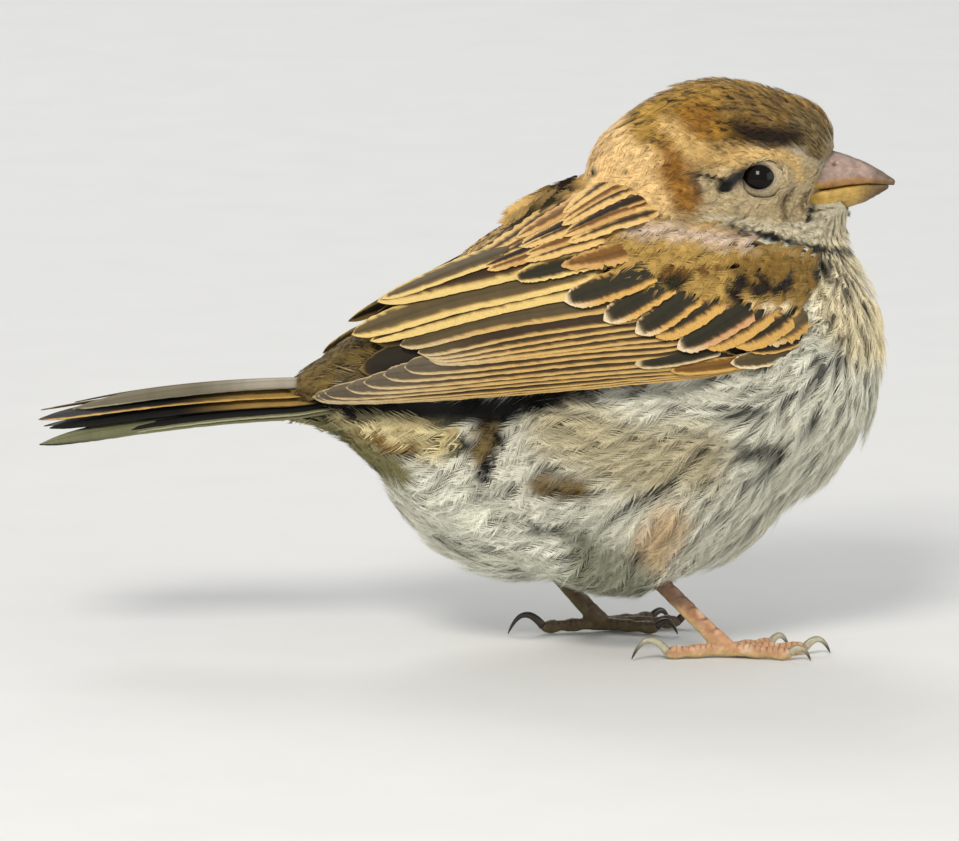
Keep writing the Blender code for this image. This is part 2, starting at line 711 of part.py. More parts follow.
def thigh_ball(name, side_name, side, grow):
    """A hidden ball round one thigh."""
    x, y, z = THIGH_CENTRE[side_name]
    half = [size + grow for size in THIGH_HALF]
    return object_of(name, small_ball(Matrix.Translation((x, y * side, z)), half), helper=True)


def foot(side_name, side):
    """The tarsus with its palm, the four toes and their claws."""
    joint = Vector(FOOT_JOINT[side_name])
    shin = object_of(f"tarsus_{side_name}", tarsus(side_name), "leg_skin")
    boolean(shin, "UNION", palm_pad(side_name, joint))
    forward, outward = heading(side_name, side, 0.0), heading(side_name, side, 90.0)
    for name, angle, ahead, across, bones, root, end in TOES:
        direction = heading(side_name, side, angle)
        start = Vector((joint.x, joint.y, 0.0)) + forward * ahead + outward * across
        path, thick = toe_path(start, direction, bones, (root, end))
        object_of(f"{name}_{side_name}", tube(path, thick, floor=0.0), "leg_skin")
        length, rise, radius = CLAWS[name]
        tip = Vector(path[-1]) + direction * GAP
        arc, thin = claw_path(tip, direction, length, rise, radius)
        claw = tube(arc, thin, sides=6, flatten=0.7, floor=0.0)
        object_of(f"claw_{name[4:]}_{side_name}", claw, "claw_horn")


def remove_startup_objects():
    for found in list(bpy.data.objects):
        bpy.data.objects.remove(found)


def main():
    remove_startup_objects()
    wing_cutters = [wing(side_name, side) for side_name, side in SIDES]
    tail_cutters = tail()
    bill_cutters = bill()
    eye_cutters = eyes()
    masses = body_masses()
    leg_cutters = []
    for side_name, side in SIDES:
        foot(side_name, side)
        shin = object_of(f"tarsus_{side_name}_clearance", tarsus(side_name, GAP), helper=True)
        thigh = thigh_ball(f"thigh_{side_name}_cell", side_name, side, 0.0)
        flesh_node(f"thigh_{side_name}", masses, "plumage_grey", thigh, [shin])
        leg_cutters += [shin, thigh_ball(f"thigh_{side_name}_clearance", side_name, side, GAP)]
    cutters = {
        "head": bill_cutters + eye_cutters,
        "neck": wing_cutters,
        "trunk": wing_cutters + leg_cutters,
        "rump": wing_cutters + tail_cutters,
        "undertail": wing_cutters + tail_cutters + leg_cutters,
    }
    for name, outline in body_cells().items():
        colour = "plumage_brown" if name in ("head", "rump") else "plumage_grey"
        flesh_node(name, masses, colour, side_prism(f"{name}_cell", outline), cutters[name])


main()
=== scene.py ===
"""House sparrow standing still: its skin, feather coat, flight feathers, eyes, bill, legs and claws.

Sizes and places are in millimetres in the object's frame: +X towards the bill, +Z up, the bird's left at +Y.
MM turns them into metres where a mesh is made. Both sides of the bird are alike, so a place gives its "side",
the distance from the middle plane. Markings and wing feathers are laid out by x and "level", the height as a
side view from 10 degrees above shows it: level = z - side * LEAN.
"""

import json
import math
from dataclasses import dataclass, replace
from itertools import product

import bmesh
import bpy
import numpy as np
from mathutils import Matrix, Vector, kdtree, noise
from mathutils.bvhtree import BVHTree


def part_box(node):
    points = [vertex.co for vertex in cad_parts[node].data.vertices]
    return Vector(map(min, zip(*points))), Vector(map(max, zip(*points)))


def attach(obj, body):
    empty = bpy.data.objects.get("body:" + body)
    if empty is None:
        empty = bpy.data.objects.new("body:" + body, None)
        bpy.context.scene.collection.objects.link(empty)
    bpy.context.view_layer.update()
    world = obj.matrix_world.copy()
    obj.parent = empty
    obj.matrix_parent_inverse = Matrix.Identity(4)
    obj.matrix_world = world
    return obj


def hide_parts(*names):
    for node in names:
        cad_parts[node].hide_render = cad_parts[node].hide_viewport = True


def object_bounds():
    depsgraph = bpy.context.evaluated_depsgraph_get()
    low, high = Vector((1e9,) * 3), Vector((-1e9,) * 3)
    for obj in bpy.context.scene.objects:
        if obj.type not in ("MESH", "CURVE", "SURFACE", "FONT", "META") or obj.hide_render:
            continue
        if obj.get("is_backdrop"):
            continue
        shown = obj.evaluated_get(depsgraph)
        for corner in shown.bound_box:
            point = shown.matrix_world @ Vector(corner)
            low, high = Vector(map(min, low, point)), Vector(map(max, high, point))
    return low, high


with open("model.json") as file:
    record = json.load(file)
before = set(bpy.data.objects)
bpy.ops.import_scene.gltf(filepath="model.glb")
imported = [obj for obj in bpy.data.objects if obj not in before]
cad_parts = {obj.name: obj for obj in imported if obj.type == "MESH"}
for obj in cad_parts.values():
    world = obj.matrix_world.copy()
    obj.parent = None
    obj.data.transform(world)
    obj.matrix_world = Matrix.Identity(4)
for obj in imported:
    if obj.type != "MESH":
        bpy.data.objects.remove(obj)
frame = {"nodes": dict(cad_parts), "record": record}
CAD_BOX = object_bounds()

MM = 0.001
LEAN = math.tan(math.radians(10.0))
SIDES = {"right": -1, "left": 1}
SEED = 11

FLESH = ("head", "neck", "trunk", "rump", "undertail", "thigh_right", "thigh_left")
TOES = ("back", "inner", "middle", "outer")
WING_GROUPS = ("coverts", "scapulars", "tertials", "secondaries", "primaries")
PAINT, BARB = "plumage", "barb"  # what a mesh stores at each point: its colour, and how far along the barbs


def srgb(red, green, blue):
    """A linear colour from screen values of 0 to 255."""
    screen = np.array((red, green, blue)) / 255.0
    return np.where(screen <= 0.04045, screen / 12.92, ((screen + 0.055) / 1.055) ** 2.4)


# --- colours ----------------------------------------------------------------------------------------------

CROWN, CROWN_DARK = srgb(208, 165, 78), srgb(40, 24, 8)
CROWN_FRONT = srgb(158, 124, 64)
CROWN_SIDE, DUSKY = srgb(184, 136, 48), srgb(148, 126, 80)
RUFOUS, RUFOUS_DARK = srgb(172, 122, 46), srgb(110, 66, 22)
NAPE, NAPE_DARK = srgb(242, 206, 144), srgb(150, 112, 62)
BROW, EYESTRIPE = srgb(226, 190, 122), srgb(26, 18, 8)
CHEEK, CHEEK_DARK = srgb(192, 172, 132), srgb(110, 90, 60)
CREAM, CHIN = srgb(214, 202, 172), srgb(206, 196, 166)
LAVENDER = srgb(206, 182, 158)
BREAST_WARM, BREAST, BREAST_DARK = srgb(240, 226, 186), srgb(216, 214, 196), srgb(110, 106, 92)
FLANK_BUFF, FLANK_BROWN = srgb(186, 175, 142), srgb(120, 100, 62)
FLANK_GREEN = srgb(128, 122, 76)
TAN = srgb(206, 180, 142)
# The belly's grey-green below is painted shade on the underside.
BELLY_PAINTED_SHADE, VENT = srgb(146, 148, 126), srgb(226, 225, 208)
UNDERTAIL, UNDERTAIL_DARK = srgb(224, 210, 160), srgb(120, 92, 40)
MANTLE, MANTLE_ORANGE, MANTLE_DARK = srgb(218, 180, 112), srgb(196, 152, 90), srgb(50, 40, 22)
RUMP, RUMP_DARK = srgb(126, 104, 56), srgb(34, 27, 14)
BLACK = srgb(10, 9, 7)
LESSER, LESSER_FRONT, LESSER_DARK = srgb(184, 150, 80), srgb(142, 112, 50), srgb(112, 76, 28)
COVERT_DARK, COVERT_EDGE, PALE_EDGE = srgb(38, 34, 18), srgb(202, 158, 84), srgb(226, 206, 168)
ORANGE_EDGE = srgb(200, 152, 104)
SPOT = srgb(34, 24, 14)
REMEX_DARK, REMEX_EDGE = srgb(58, 42, 22), srgb(200, 164, 98)
TERTIAL_DARK, TERTIAL_GREY, TERTIAL_EDGE = srgb(60, 42, 20), srgb(86, 72, 44), srgb(220, 190, 118)
PRIMARY_GREY, PRIMARY_DARK, PRIMARY_EDGE = srgb(94, 84, 68), srgb(44, 36, 22), srgb(202, 180, 138)
TAIL_GREY, TAIL_BUFF, TAIL_DARK = srgb(98, 88, 58), srgb(196, 158, 82), srgb(8, 6, 4)
TAIL_PALE, TAIL_GOLD, TAIL_GREEN = srgb(160, 156, 124), srgb(182, 144, 74), srgb(112, 112, 80)
TAIL_SILVER = srgb(158, 148, 128)


# --- shared geometry --------------------------------------------------------------------------------------


def unit(vectors):
    """Each row scaled to length 1."""
    return vectors / np.maximum(np.linalg.norm(vectors, axis=-1, keepdims=True), 1e-9)


def smoothstep(start, end, values):
    """0 up to the start, 1 past the end, and an even slope between; the end may be the lower one."""
    share = np.clip((values - start) / (end - start), 0.0, 1.0)
    return share * share * (3.0 - 2.0 * share)


def blend(first, second, share):
    """Rows of the first moved towards the second by a share for each."""
    return first + (second - first) * share[..., None]


def mirrored(points):
    """Each point as it would lie on the bird's left."""
    return points * (1.0, 0.0, 1.0) + np.abs(points) * (0.0, 1.0, 0.0)


def level_of(points):
    """How high each point stands in the side view that markings are laid out in."""
    return points[..., 2] - np.abs(points[..., 1]) * LEAN


def spline_weights(shares, count):
    """Rows of weights that read a smooth curve through count even stations, one row for each share."""
    place = np.clip(shares, 0.0, 1.0) * (count - 1)
    first = np.minimum(place.astype(int), count - 2)
    t = place - first
    ahead = (-t + 2 * t**2 - t**3) / 2, (2 - 5 * t**2 + 3 * t**3) / 2
    behind = (t + 4 * t**2 - 3 * t**3) / 2, (t**3 - t**2) / 2
    rows = np.zeros((len(shares), count))
    for offset, weight in zip((-1, 0, 1, 2), ahead + behind):
        np.add.at(rows, (np.arange(len(shares)), np.clip(first + offset, 0, count - 1)), weight)
    return rows


def through(stations, share):
    """Points at shares 0 to 1 along the smooth curve through evenly spaced stations."""
    stations = np.asarray(stations, float)
    return spline_weights(np.atleast_1d(share), len(stations)) @ stations


def halved(a, b, c, d):
    """The triangles of quads, from arrays of their corners."""
    a, b, c, d = (corner.ravel() for corner in (a, b, c, d))
    return np.concatenate((np.stack((a, b, c), 1), np.stack((a, c, d), 1)))


def placed(name, data):
    """A new object in the scene, made of data."""
    made = bpy.data.objects.new(name, data)
    bpy.context.scene.collection.objects.link(made)
    return made


def mesh_object(name, points, faces):
    """An object in the scene from points in millimetres and an array of triangles."""
    mesh = bpy.data.meshes.new(name)
    mesh.vertices.add(len(points))
    mesh.vertices.foreach_set("co", (points * MM).astype(np.float32).ravel())
    mesh.loops.add(faces.size)
    mesh.loops.foreach_set("vertex_index", faces.astype(np.int32).ravel())
    mesh.polygons.add(len(faces))
    mesh.polygons.foreach_set("loop_start", np.arange(0, faces.size, 3, dtype=np.int32))
    mesh.polygons.foreach_set("use_smooth", np.ones(len(faces), bool))
    mesh.update(calc_edges=True)
    return placed(name, mesh)


def point_layer(mesh, name, kind, values):
    """Stores one value for each of a mesh's points, as a named attribute."""
    layer = mesh.attributes.new(name, kind, "POINT")
    field = "color" if kind == "FLOAT_COLOR" else "value"
    layer.data.foreach_set(field, np.ascontiguousarray(values, np.float32).ravel())


def paint_points(mesh, colours):
    """Stores an opaque colour for each of a mesh's points."""
    point_layer(mesh, PAINT, "FLOAT_COLOR", np.insert(colours, 3, 1.0, axis=1))


def bake_map(mesh, places):
    """Gives the mesh the map its colours are baked through, from a place for each corner of a face."""
    mesh.uv_layers.new(name="OFBake").data.foreach_set("uv", places.astype(np.float32).ravel())


def register(made, material, nodes=()):
    """Gives an object its material, hangs it under the root body's empty, and hides the nodes it stands for.
    """
    made.data.materials.append(material)
    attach(made, "root")
    if nodes:
        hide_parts(*nodes)


def mesh_arrays(mesh):
    """A triangulated mesh's points in millimetres, its triangles and its point normals."""
    points = np.empty(len(mesh.vertices) * 3, np.float32)
    mesh.vertices.foreach_get("co", points)
    mesh.calc_loop_triangles()
    faces = np.empty(len(mesh.loop_triangles) * 3, np.int32)
    mesh.loop_triangles.foreach_get("vertices", faces)
    normals = np.empty(len(mesh.vertices) * 3, np.float32)
    mesh.vertex_normals.foreach_get("vector", normals)
    return points.reshape(-1, 3) / MM, faces.reshape(-1, 3), normals.reshape(-1, 3).astype(float)


def grown(node, grow):
    """A CAD node's points, pushed out by grow, and its faces."""
    form = bmesh.new()
    form.from_mesh(frame["nodes"][node].data)
    bmesh.ops.remove_doubles(form, verts=form.verts, dist=0.001 * MM)
    bmesh.ops.triangulate(form, faces=form.faces)
    form.normal_update()
    points = np.array([vertex.co / MM + vertex.normal * grow for vertex in form.verts])
    faces = np.array([[vertex.index for vertex in face.verts] for face in form.faces])
    form.free()
    return points, faces


def fused(name, shells, voxel, rounds):
    """One smooth closed mesh round several overlapping shells, each given by its points and triangles."""
    points = np.concatenate([shell[0] for shell in shells])
    starts = np.cumsum([0] + [len(shell[0]) for shell in shells[:-1]])
    faces = np.concatenate([shell[1] + start for shell, start in zip(shells, starts)])
    made = mesh_object(name, points, faces)
    remesh = made.modifiers.new("remesh", "REMESH")
    remesh.mode = "VOXEL"
    remesh.voxel_size = voxel * MM
    smooth = made.modifiers.new("smooth", "SMOOTH")
    smooth.factor = 0.5
    smooth.iterations = rounds
    shaped = bpy.data.meshes.new_from_object(made.evaluated_get(bpy.context.evaluated_depsgraph_get()))
    arrays = mesh_arrays(shaped)
    form = made.data
    bpy.data.objects.remove(made)
    for mesh in (form, shaped):
        bpy.data.meshes.remove(mesh)
    return arrays


EYE_LOW, EYE_HIGH = (np.array(corner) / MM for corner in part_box("eye_left"))
EYE_HIDDEN = 0.3  # how much broader the ball is than what shows of it, and how much deeper it is set
EYE_PLACE = (EYE_LOW + EYE_HIGH) / 2 - (0.0, EYE_HIDDEN, 0.0)
EYE_RADIUS = float((EYE_HIGH - EYE_LOW)[0]) / 2 + EYE_HIDDEN
LID_SHIFT = np.array((-0.2, 0.0, 0.45))  # how far the middle of the lids lies from the middle of the ball


# --- the lie of the coat ----------------------------------------------------------------------------------

# Each row: tract, kind of feather, place (x, side, z), lie (x, side, z), then the feather's length, half
# width and spacing, the coat's depth there, and how far its tips stand out.
GUIDES = (
    ("face", "tiny", (54, 0, 76.8), (-0.5, 0, 0.86), 3.1, 0.44, 0.64, 0.60, 0.03),
    ("face", "tiny", (50.5, 5.5, 76.5), (-0.85, 0.1, 0.5), 3.1, 0.44, 0.64, 0.60, 0.03),
    ("crown", "small", (47.5, 0, 83), (-0.8, 0, 0.6), 3.2, 0.75, 0.95, 0.9, 0.15),
    ("crown", "small", (38, 0, 85.6), (-1, 0, 0.02), 4, 0.9, 1.15, 1, 0.1),
    ("crown", "small", (40, 8.5, 81), (-0.98, 0.05, 0.1), 3.6, 0.8, 1.05, 1, 0.1),
    ("crown", "small", (28, 0, 82.5), (-0.85, 0, -0.5), 4.6, 1, 1.3, 1.2, 0.15),
    ("face", "tiny", (46.5, 9, 76), (-0.97, 0.1, 0.2), 3.4, 0.48, 0.68, 0.60, 0.08),
    ("face", "small", (36, 12, 76), (-0.98, 0.05, 0), 3.6, 0.8, 1, 0.9, 0.1),
    ("face", "tiny", (50.5, 6, 71.5), (-0.95, 0.3, -0.1), 2.5, 0.36, 0.53, 0.45, 0.02),
    ("face", "tiny", (46, 10, 67.5), (-0.88, 0.2, -0.4), 2.7, 0.40, 0.59, 0.52, 0.03),
    ("face", "small", (37, 13, 68.5), (-0.95, 0.05, -0.28), 3.3, 0.75, 0.95, 0.9, 0.03),
    ("neck", "small", (27, 12, 73), (-0.82, 0, -0.57), 4.6, 1, 1.2, 1.2, 0.2),
    ("neck", "small", (18.5, 0, 75), (-0.55, 0, -0.84), 5.4, 1.15, 1.4, 1.5, 0.25),
    ("neck", "small", (19, 10, 69), (-0.78, 0.1, -0.62), 5.6, 1.2, 1.4, 1.5, 0.2),
    ("face", "tiny", (54.5, 0, 64.8), (-0.3, 0, -0.95), 3.1, 0.48, 0.68, 0.60, 0.08),
    ("face", "small", (49, 8, 64), (-0.82, 0.1, -0.55), 3, 0.7, 0.9, 0.9, 0.25),
    ("neck", "soft", (57, 0, 60), (0.2, 0, -1), 5, 0.9, 1.2, 1.6, 0.5),
    ("neck", "small", (38, 14, 62), (-0.93, 0.1, -0.3), 4.6, 1.1, 1.2, 1.3, 0.2),
    ("breast", "strand", (61, 0, 53.5), (0.1, 0, -1), 8.5, 1.1, 1.5, 2.3, 1.1),
    ("breast", "strand", (63.5, 0, 44), (0.06, 0, -1), 10.5, 1.2, 1.65, 2.7, 1.6),
    ("breast", "strand", (61, 0, 34), (-0.16, 0, -0.97), 11.5, 1.25, 1.7, 2.8, 1.8),
    ("belly", "strand", (53, 0, 22.5), (-0.4, 0, -0.9), 11.5, 1.3, 1.8, 3, 1.6),
    ("belly", "soft", (38, 0, 12), (-0.9, 0, -0.4), 11, 1.7, 2, 3, 0.8),
    ("belly", "soft", (20, 0, 8), (-1, 0, 0), 11, 1.7, 2, 3, 0.6),
    ("vent", "soft", (2, 0, 12.5), (-0.96, 0, 0.22), 12, 1.8, 2, 3, 0.8),
    ("vent", "soft", (-9, 0, 21.5), (-0.92, 0, 0.36), 12, 1.8, 2, 2.8, 0.6),
    ("vent", "frill", (-22, 0, 32), (-0.97, 0, 0.2), 8, 1.9, 2.2, 2, 0.4),
    ("breast", "soft", (56, 12, 55), (-0.5, 0.3, -0.8), 7, 1.2, 1.5, 2, 0.6),
    ("breast", "strand", (58.5, 13, 43), (-0.25, 0.1, -0.96), 9.5, 1.4, 1.7, 2.6, 0.9),
    ("breast", "soft", (53, 18, 49), (-0.9, 0.3, -0.4), 8, 1.3, 1.5, 2, 1.5),
    ("flank", "strand", (51, 18, 34), (-0.42, 0, -0.9), 10.5, 1.3, 1.75, 2.8, 0.9),
    ("flank", "soft", (34, 21, 34), (-0.86, 0, -0.5), 11, 1.6, 1.85, 2.8, 0.7),
    ("flank", "soft", (36, 20, 42), (-0.97, 0.1, -0.1), 10, 1.5, 1.85, 2.6, 0.5),
    ("flank", "soft", (14, 19, 40), (-1, 0, 0.05), 10.5, 1.6, 1.9, 2.6, 0.5),
    ("flank", "soft", (40, 15, 19), (-0.5, 0, -0.87), 10, 1.5, 1.8, 2.8, 0.8),
    ("flank", "soft", (28, 15, 15), (-0.45, 0, -0.9), 8.5, 1.4, 1.7, 2.4, 0.5),
    ("vent", "frill", (6, 17, 33), (-0.85, 0, -0.5), 7, 1.5, 1.9, 2.8, 1.2),
    ("vent", "soft", (2, 14, 26), (-0.75, 0, -0.66), 9.5, 1.6, 1.8, 2.8, 1),
    ("vent", "soft", (4, 12, 16.5), (-0.99, 0, -0.05), 11.5, 1.7, 1.9, 3, 0.8),
    ("vent", "frill", (-14, 8, 32), (-0.98, 0, 0), 7.5, 1.9, 2.2, 2.2, 0.8),
    ("mantle", "streaked", (18, 5, 71), (-0.8, 0, -0.6), 7, 1.2, 1.4, 0.9, 0.1),
    ("mantle", "streaked", (8, 0, 64), (-0.78, 0, -0.62), 8, 1.3, 1.5, 0.9, 0.1),
    ("mantle", "streaked", (14, 12, 63), (-0.86, 0.05, -0.5), 8, 1.3, 1.5, 0.9, 0.1),
    ("mantle", "streaked", (-5, 0, 53.5), (-0.86, 0, -0.5), 9.5, 1.9, 2.2, 1.5, 0.2),
    ("mantle", "streaked", (-15, 0, 46.5), (-0.94, 0, -0.34), 5.5, 1, 1.15, 0.5, 0.1),
    ("mantle", "streaked", (-21, 3, 43), (-0.97, 0, -0.22), 5, 0.9, 1.1, 0.4, 0.1),
    ("mantle", "small", (-15, 7, 42), (-0.97, 0, -0.2), 9, 1.7, 1.8, 1.2, 0.2),
)
GUIDE_REACH, GUIDE_POWER = 2.5, 2.5  # guides closer than this to a point share it evenly; further ones fade
CROWDING = 0.74  # scales every spacing
MIDDLE_BAND = 3.0  # how near the middle plane feathers stop leaning to the side
EYE_CLEAR = (7.0, 3.0)  # feathers nearer the eye than the first turn aside, fully at the second
EYE_TURN, EYE_BULGE = 1.1, (0.0, 3.0, 0.0)  # how strongly they turn, and where the face is widest by the eye


@dataclass(frozen=True)
class Kind:
    """How one kind of body feather is built, and how it lies among its neighbours."""

    barbs: int  # on each side of the shaft
    gap: float  # how open they are
    sweep: float  # how far forward they sweep
    arch: float
    streak_reach: float  # how far from the shaft a streak reaches
    unevenness: float
    patterns: int  # how many different feathers there are of this kind
    gather: float  # how strongly neighbours gather into locks
    root_down_and_shade: float  # how dark its root is: its grey down, and painted shade under the feathers over it


KINDS = {
    "tiny": Kind(8, 0.30, 0.75, 0.03, 0.45, 0.16, 8, 0.35, 0.75),
    "small": Kind(12, 0.35, 0.50, 0.07, 0.50, 0.18, 10, 0.3, 0.5),
    "streaked": Kind(18, 0.15, 0.26, 0.15, 0.55, 0.08, 8, 0.05, 0.4),
    "frill": Kind(16, 0.30, 0.30, 0.25, 0.55, 0.20, 8, 0.3, 0.3),
    "strand": Kind(22, 0.45, 0.50, 0.35, 0.30, 0.18, 12, 0.9, 0.32),
    "soft": Kind(22, 0.60, 0.40, 0.18, 0.30, 0.24, 14, 0.6, 0.45),
}


def guide_weights(squared, reach, power):
    """How much each guide counts at each point, from the squares of their distances."""
    weights = (squared + reach**2) ** -power
    return weights / weights.sum(1, keepdims=True)


def clear_of_eye(points, lie):
    """The lie of feathers, turned aside where they would cross the eye."""
    outward = unit((points - EYE_PLACE) * (1.0, 0.0, 1.0))
    apart = np.linalg.norm(points - EYE_PLACE - EYE_BULGE, axis=1)
    inward = np.maximum(-(lie * outward).sum(1), 0.0) * EYE_TURN
    return lie + outward * (inward * smoothstep(*EYE_CLEAR, apart))[:, None]


class Guides:
    """The coat's lie and sizes anywhere on the skin, blended from the guide rows."""

    FIELDS = ("length", "half_width", "spacing", "depth", "stand")

    def __init__(self, rows):
        self.tracts, self.kinds, self.places, lies = (np.array([row[i] for row in rows]) for i in range(4))
        self.lies = unit(lies)
        self.sizes = np.array([row[4:] for row in rows])

    def at(self, points):
        """The lie at each point, its sizes as a dict of arrays, and the nearest guide's number."""
        left = mirrored(points)
        squared = ((left[:, None, :] - self.places[None]) ** 2).sum(-1)
        weights = guide_weights(squared, GUIDE_REACH, GUIDE_POWER)
        lie = clear_of_eye(left, weights @ self.lies)
        lie[:, 1] *= np.sign(points[:, 1]) * np.clip(np.abs(points[:, 1]) / MIDDLE_BAND, 0.0, 1.0)
        return lie, dict(zip(self.FIELDS, (weights @ self.sizes).T)), squared.argmin(1)


# --- markings ---------------------------------------------------------------------------------------------

# Each mark: colour, streak colour, how strongly its feathers are streaked, half width, softness of its edge,
# and the line it follows, by x and level. Later marks lie over earlier ones.
BODY_MARKS = (
    (MANTLE, MANTLE_DARK, 0.9, 13, 2, ((30, 70), (16, 62), (2, 58), (-10, 52))),
    (RUMP, RUMP_DARK, 0.95, 5.5, 3, ((-11, 47.5), (-30, 41))),
    (NAPE, NAPE_DARK, 0.15, 8, 2, ((27, 76), (23, 70), (26, 64))),
    (BREAST_WARM, BREAST_DARK, 0.1, 5, 5, ((54, 57), (57, 50), (60, 47))),
    (FLANK_BUFF, BREAST_DARK, 0.1, 5, 6, ((34, 28), (24, 28), (14, 33))),
    (FLANK_BROWN, MANTLE_DARK, 0.2, 1.6, 2.5, ((17, 23.5), (11, 24))),
    (TAN, BREAST_DARK, 0, 3, 4, ((30, 18), (27, 13))),
    (FLANK_BROWN, MANTLE_DARK, 0.3, 2, 2.5, ((3.5, 33), (2.5, 29))),
    # painted shade over the lower belly
    (BELLY_PAINTED_SHADE, BREAST_DARK, 0.2, 4, 4, ((14, 13.5), (24, 9.5))),
    (VENT, BREAST_DARK, 0, 7, 4, ((8, 12), (0, 15), (-9, 19))),
    (UNDERTAIL, UNDERTAIL_DARK, 0.5, 3.2, 2, ((-4, 31), (-14, 33), (-28, 34))),
    (UNDERTAIL_DARK, MANTLE_DARK, 0.2, 0.8, 1.4, ((-8, 29.6), (-12.5, 30.2), (-17, 31.4))),
    (CHEEK, CHEEK_DARK, 0.12, 5.5, 1.5, ((48, 69), (39, 66.5), (36, 65.5))),
    (CROWN, CROWN_DARK, 0.85, 5.5, 1.5, ((50, 80.5), (42, 82), (33, 81.5), (29, 80))),
    (CROWN_SIDE, CROWN_DARK, 0.8, 3.2, 2.5, ((46, 77.5), (40, 79), (33, 79))),
    (CROWN_FRONT, CROWN_DARK, 0.95, 2.8, 3, ((51.5, 78), (46, 80.2), (40, 80.8))),
    (DUSKY, CROWN_DARK, 0.9, 2.6, 1.8, ((53, 75), (50, 78))),
    (CROWN_DARK, SPOT, 0.6, 1.5, 2.6, ((48.6, 76.6), (44, 76.8), (40, 77.6))),
    (SPOT, BLACK, 0.3, 0.6, 1.2, ((47.4, 75.7), (45, 75.7), (41.5, 76.5))),
    (RUFOUS, RUFOUS_DARK, 0.7, 2, 3, ((34, 79), (31, 75.5), (30.5, 71), (32.5, 66.5))),
    (RUFOUS_DARK, SPOT, 0.2, 0.6, 1.6, ((32.6, 73.5), (33.4, 71), (33.9, 67.5))),
    (SPOT, SPOT, 0, 0.22, 0.7, ((34.3, 72.5), (34.5, 70), (34.7, 68))),
    (BROW, NAPE_DARK, 0.4, 1.5, 2.4, ((41.5, 73.4), (37, 72.8), (33, 74.6), (30, 78.2))),
    (BROW, CHEEK, 0.1, 0.7, 0.8, ((48.5, 73), (45, 74), (41, 73.8))),
    (BROW, CHEEK, 0.1, 0.6, 1.2, ((49.5, 70.5), (48.6, 72.4))),
    (BLACK, SPOT, 0.2, 1.05, 0.7, ((41.4, 71), (39.6, 70), (37.8, 69))),
    (EYESTRIPE, BLACK, 0.2, 0.4, 0.5, ((38, 70.1), (34.6, 70.3))),
    (CHEEK_DARK, SPOT, 0.6, 0.35, 0.8, ((48.2, 68.6), (46.8, 66.4), (47.2, 64.2))),
    (CHEEK_DARK, SPOT, 0.6, 0.3, 0.6, ((50.2, 68), (49.4, 65.4))),
    (CREAM, CHEEK, 0.1, 1.3, 1, ((56.5, 62.5), (50, 61.8), (43, 62.6), (36, 63.2))),
    (CHIN, CHEEK_DARK, 0.2, 1.8, 1.5, ((55, 65), (52.5, 64.2))),
    # painted shadow under the bill
    (BLACK, SPOT, 0, 0.5, 0.6, ((51.4, 65.6), (50.4, 63.6))),
    # painted shade in the crease below the cheek, in two parts
    (BLACK, SPOT, 0, 0.5, 0.5, ((38.2, 62.8), (42, 62), (46, 61.2), (50, 60))),
    (BLACK, SPOT, 0, 0.38, 0.4, ((50, 60), (54, 59.4), (57.5, 59.4))),
    (LAVENDER, CHEEK, 0.1, 1.4, 1, ((22, 61), (32, 61.2), (42, 60.4))),
    (SPOT, SPOT, 0, 0.8, 1, ((52.6, 57.2), (53.3, 55.6))),
    (RUMP, RUMP_DARK, 0.5, 1.6, 1.2, ((-20, 38.6), (-30, 38))),
    # painted shadow: a dark band under the folded wing's lower edge, in two parts
    (BLACK, SPOT, 0, 1.7, 0.8, ((-25, 35.8), (-8, 36), (6, 36.4), (13, 37.8))),
    (BLACK, SPOT, 0, 0.8, 0.8, ((12, 38), (21, 39.2))),
    # the next four are painted shade in gaps between locks of feathers on the underparts
    (BLACK, SPOT, 0, 0.8, 1.2, ((6.4, 35.5), (5, 31), (3, 27), (2.4, 23.5))),
    (BLACK, SPOT, 0, 0.5, 0.8, ((-2.6, 28.2), (-0.2, 30.6))),
    (BLACK, SPOT, 0, 1, 1.4, ((41.5, 28.4), (46, 29.4))),
    (BLACK, SPOT, 0, 0.5, 1, ((10.5, 27.5), (13.5, 26))),
    (FLANK_GREEN, BREAST_DARK, 0.2, 1.8, 2, ((-22, 32.5), (-10, 25.5))),
    # painted shade: a dark line between the lower belly's feathers
    (BLACK, SPOT, 0, 0.35, 0.7, ((3.5, 18.6), (8, 18.2), (12, 17), (18, 15.6))),
)
MANTLE_STRIPES = (
    (MANTLE_DARK, SPOT, 0, 0.5, 0.6, ((5, 61.4), (12, 66.6), (19, 71.4))),
    (MANTLE_DARK, SPOT, 0, 0.75, 0.6, ((7, 62), (13, 65.4), (20, 68.6))),
    (MANTLE_DARK, SPOT, 0, 0.35, 0.5, ((9, 62.2), (15, 64.8), (19, 66.4))),
)
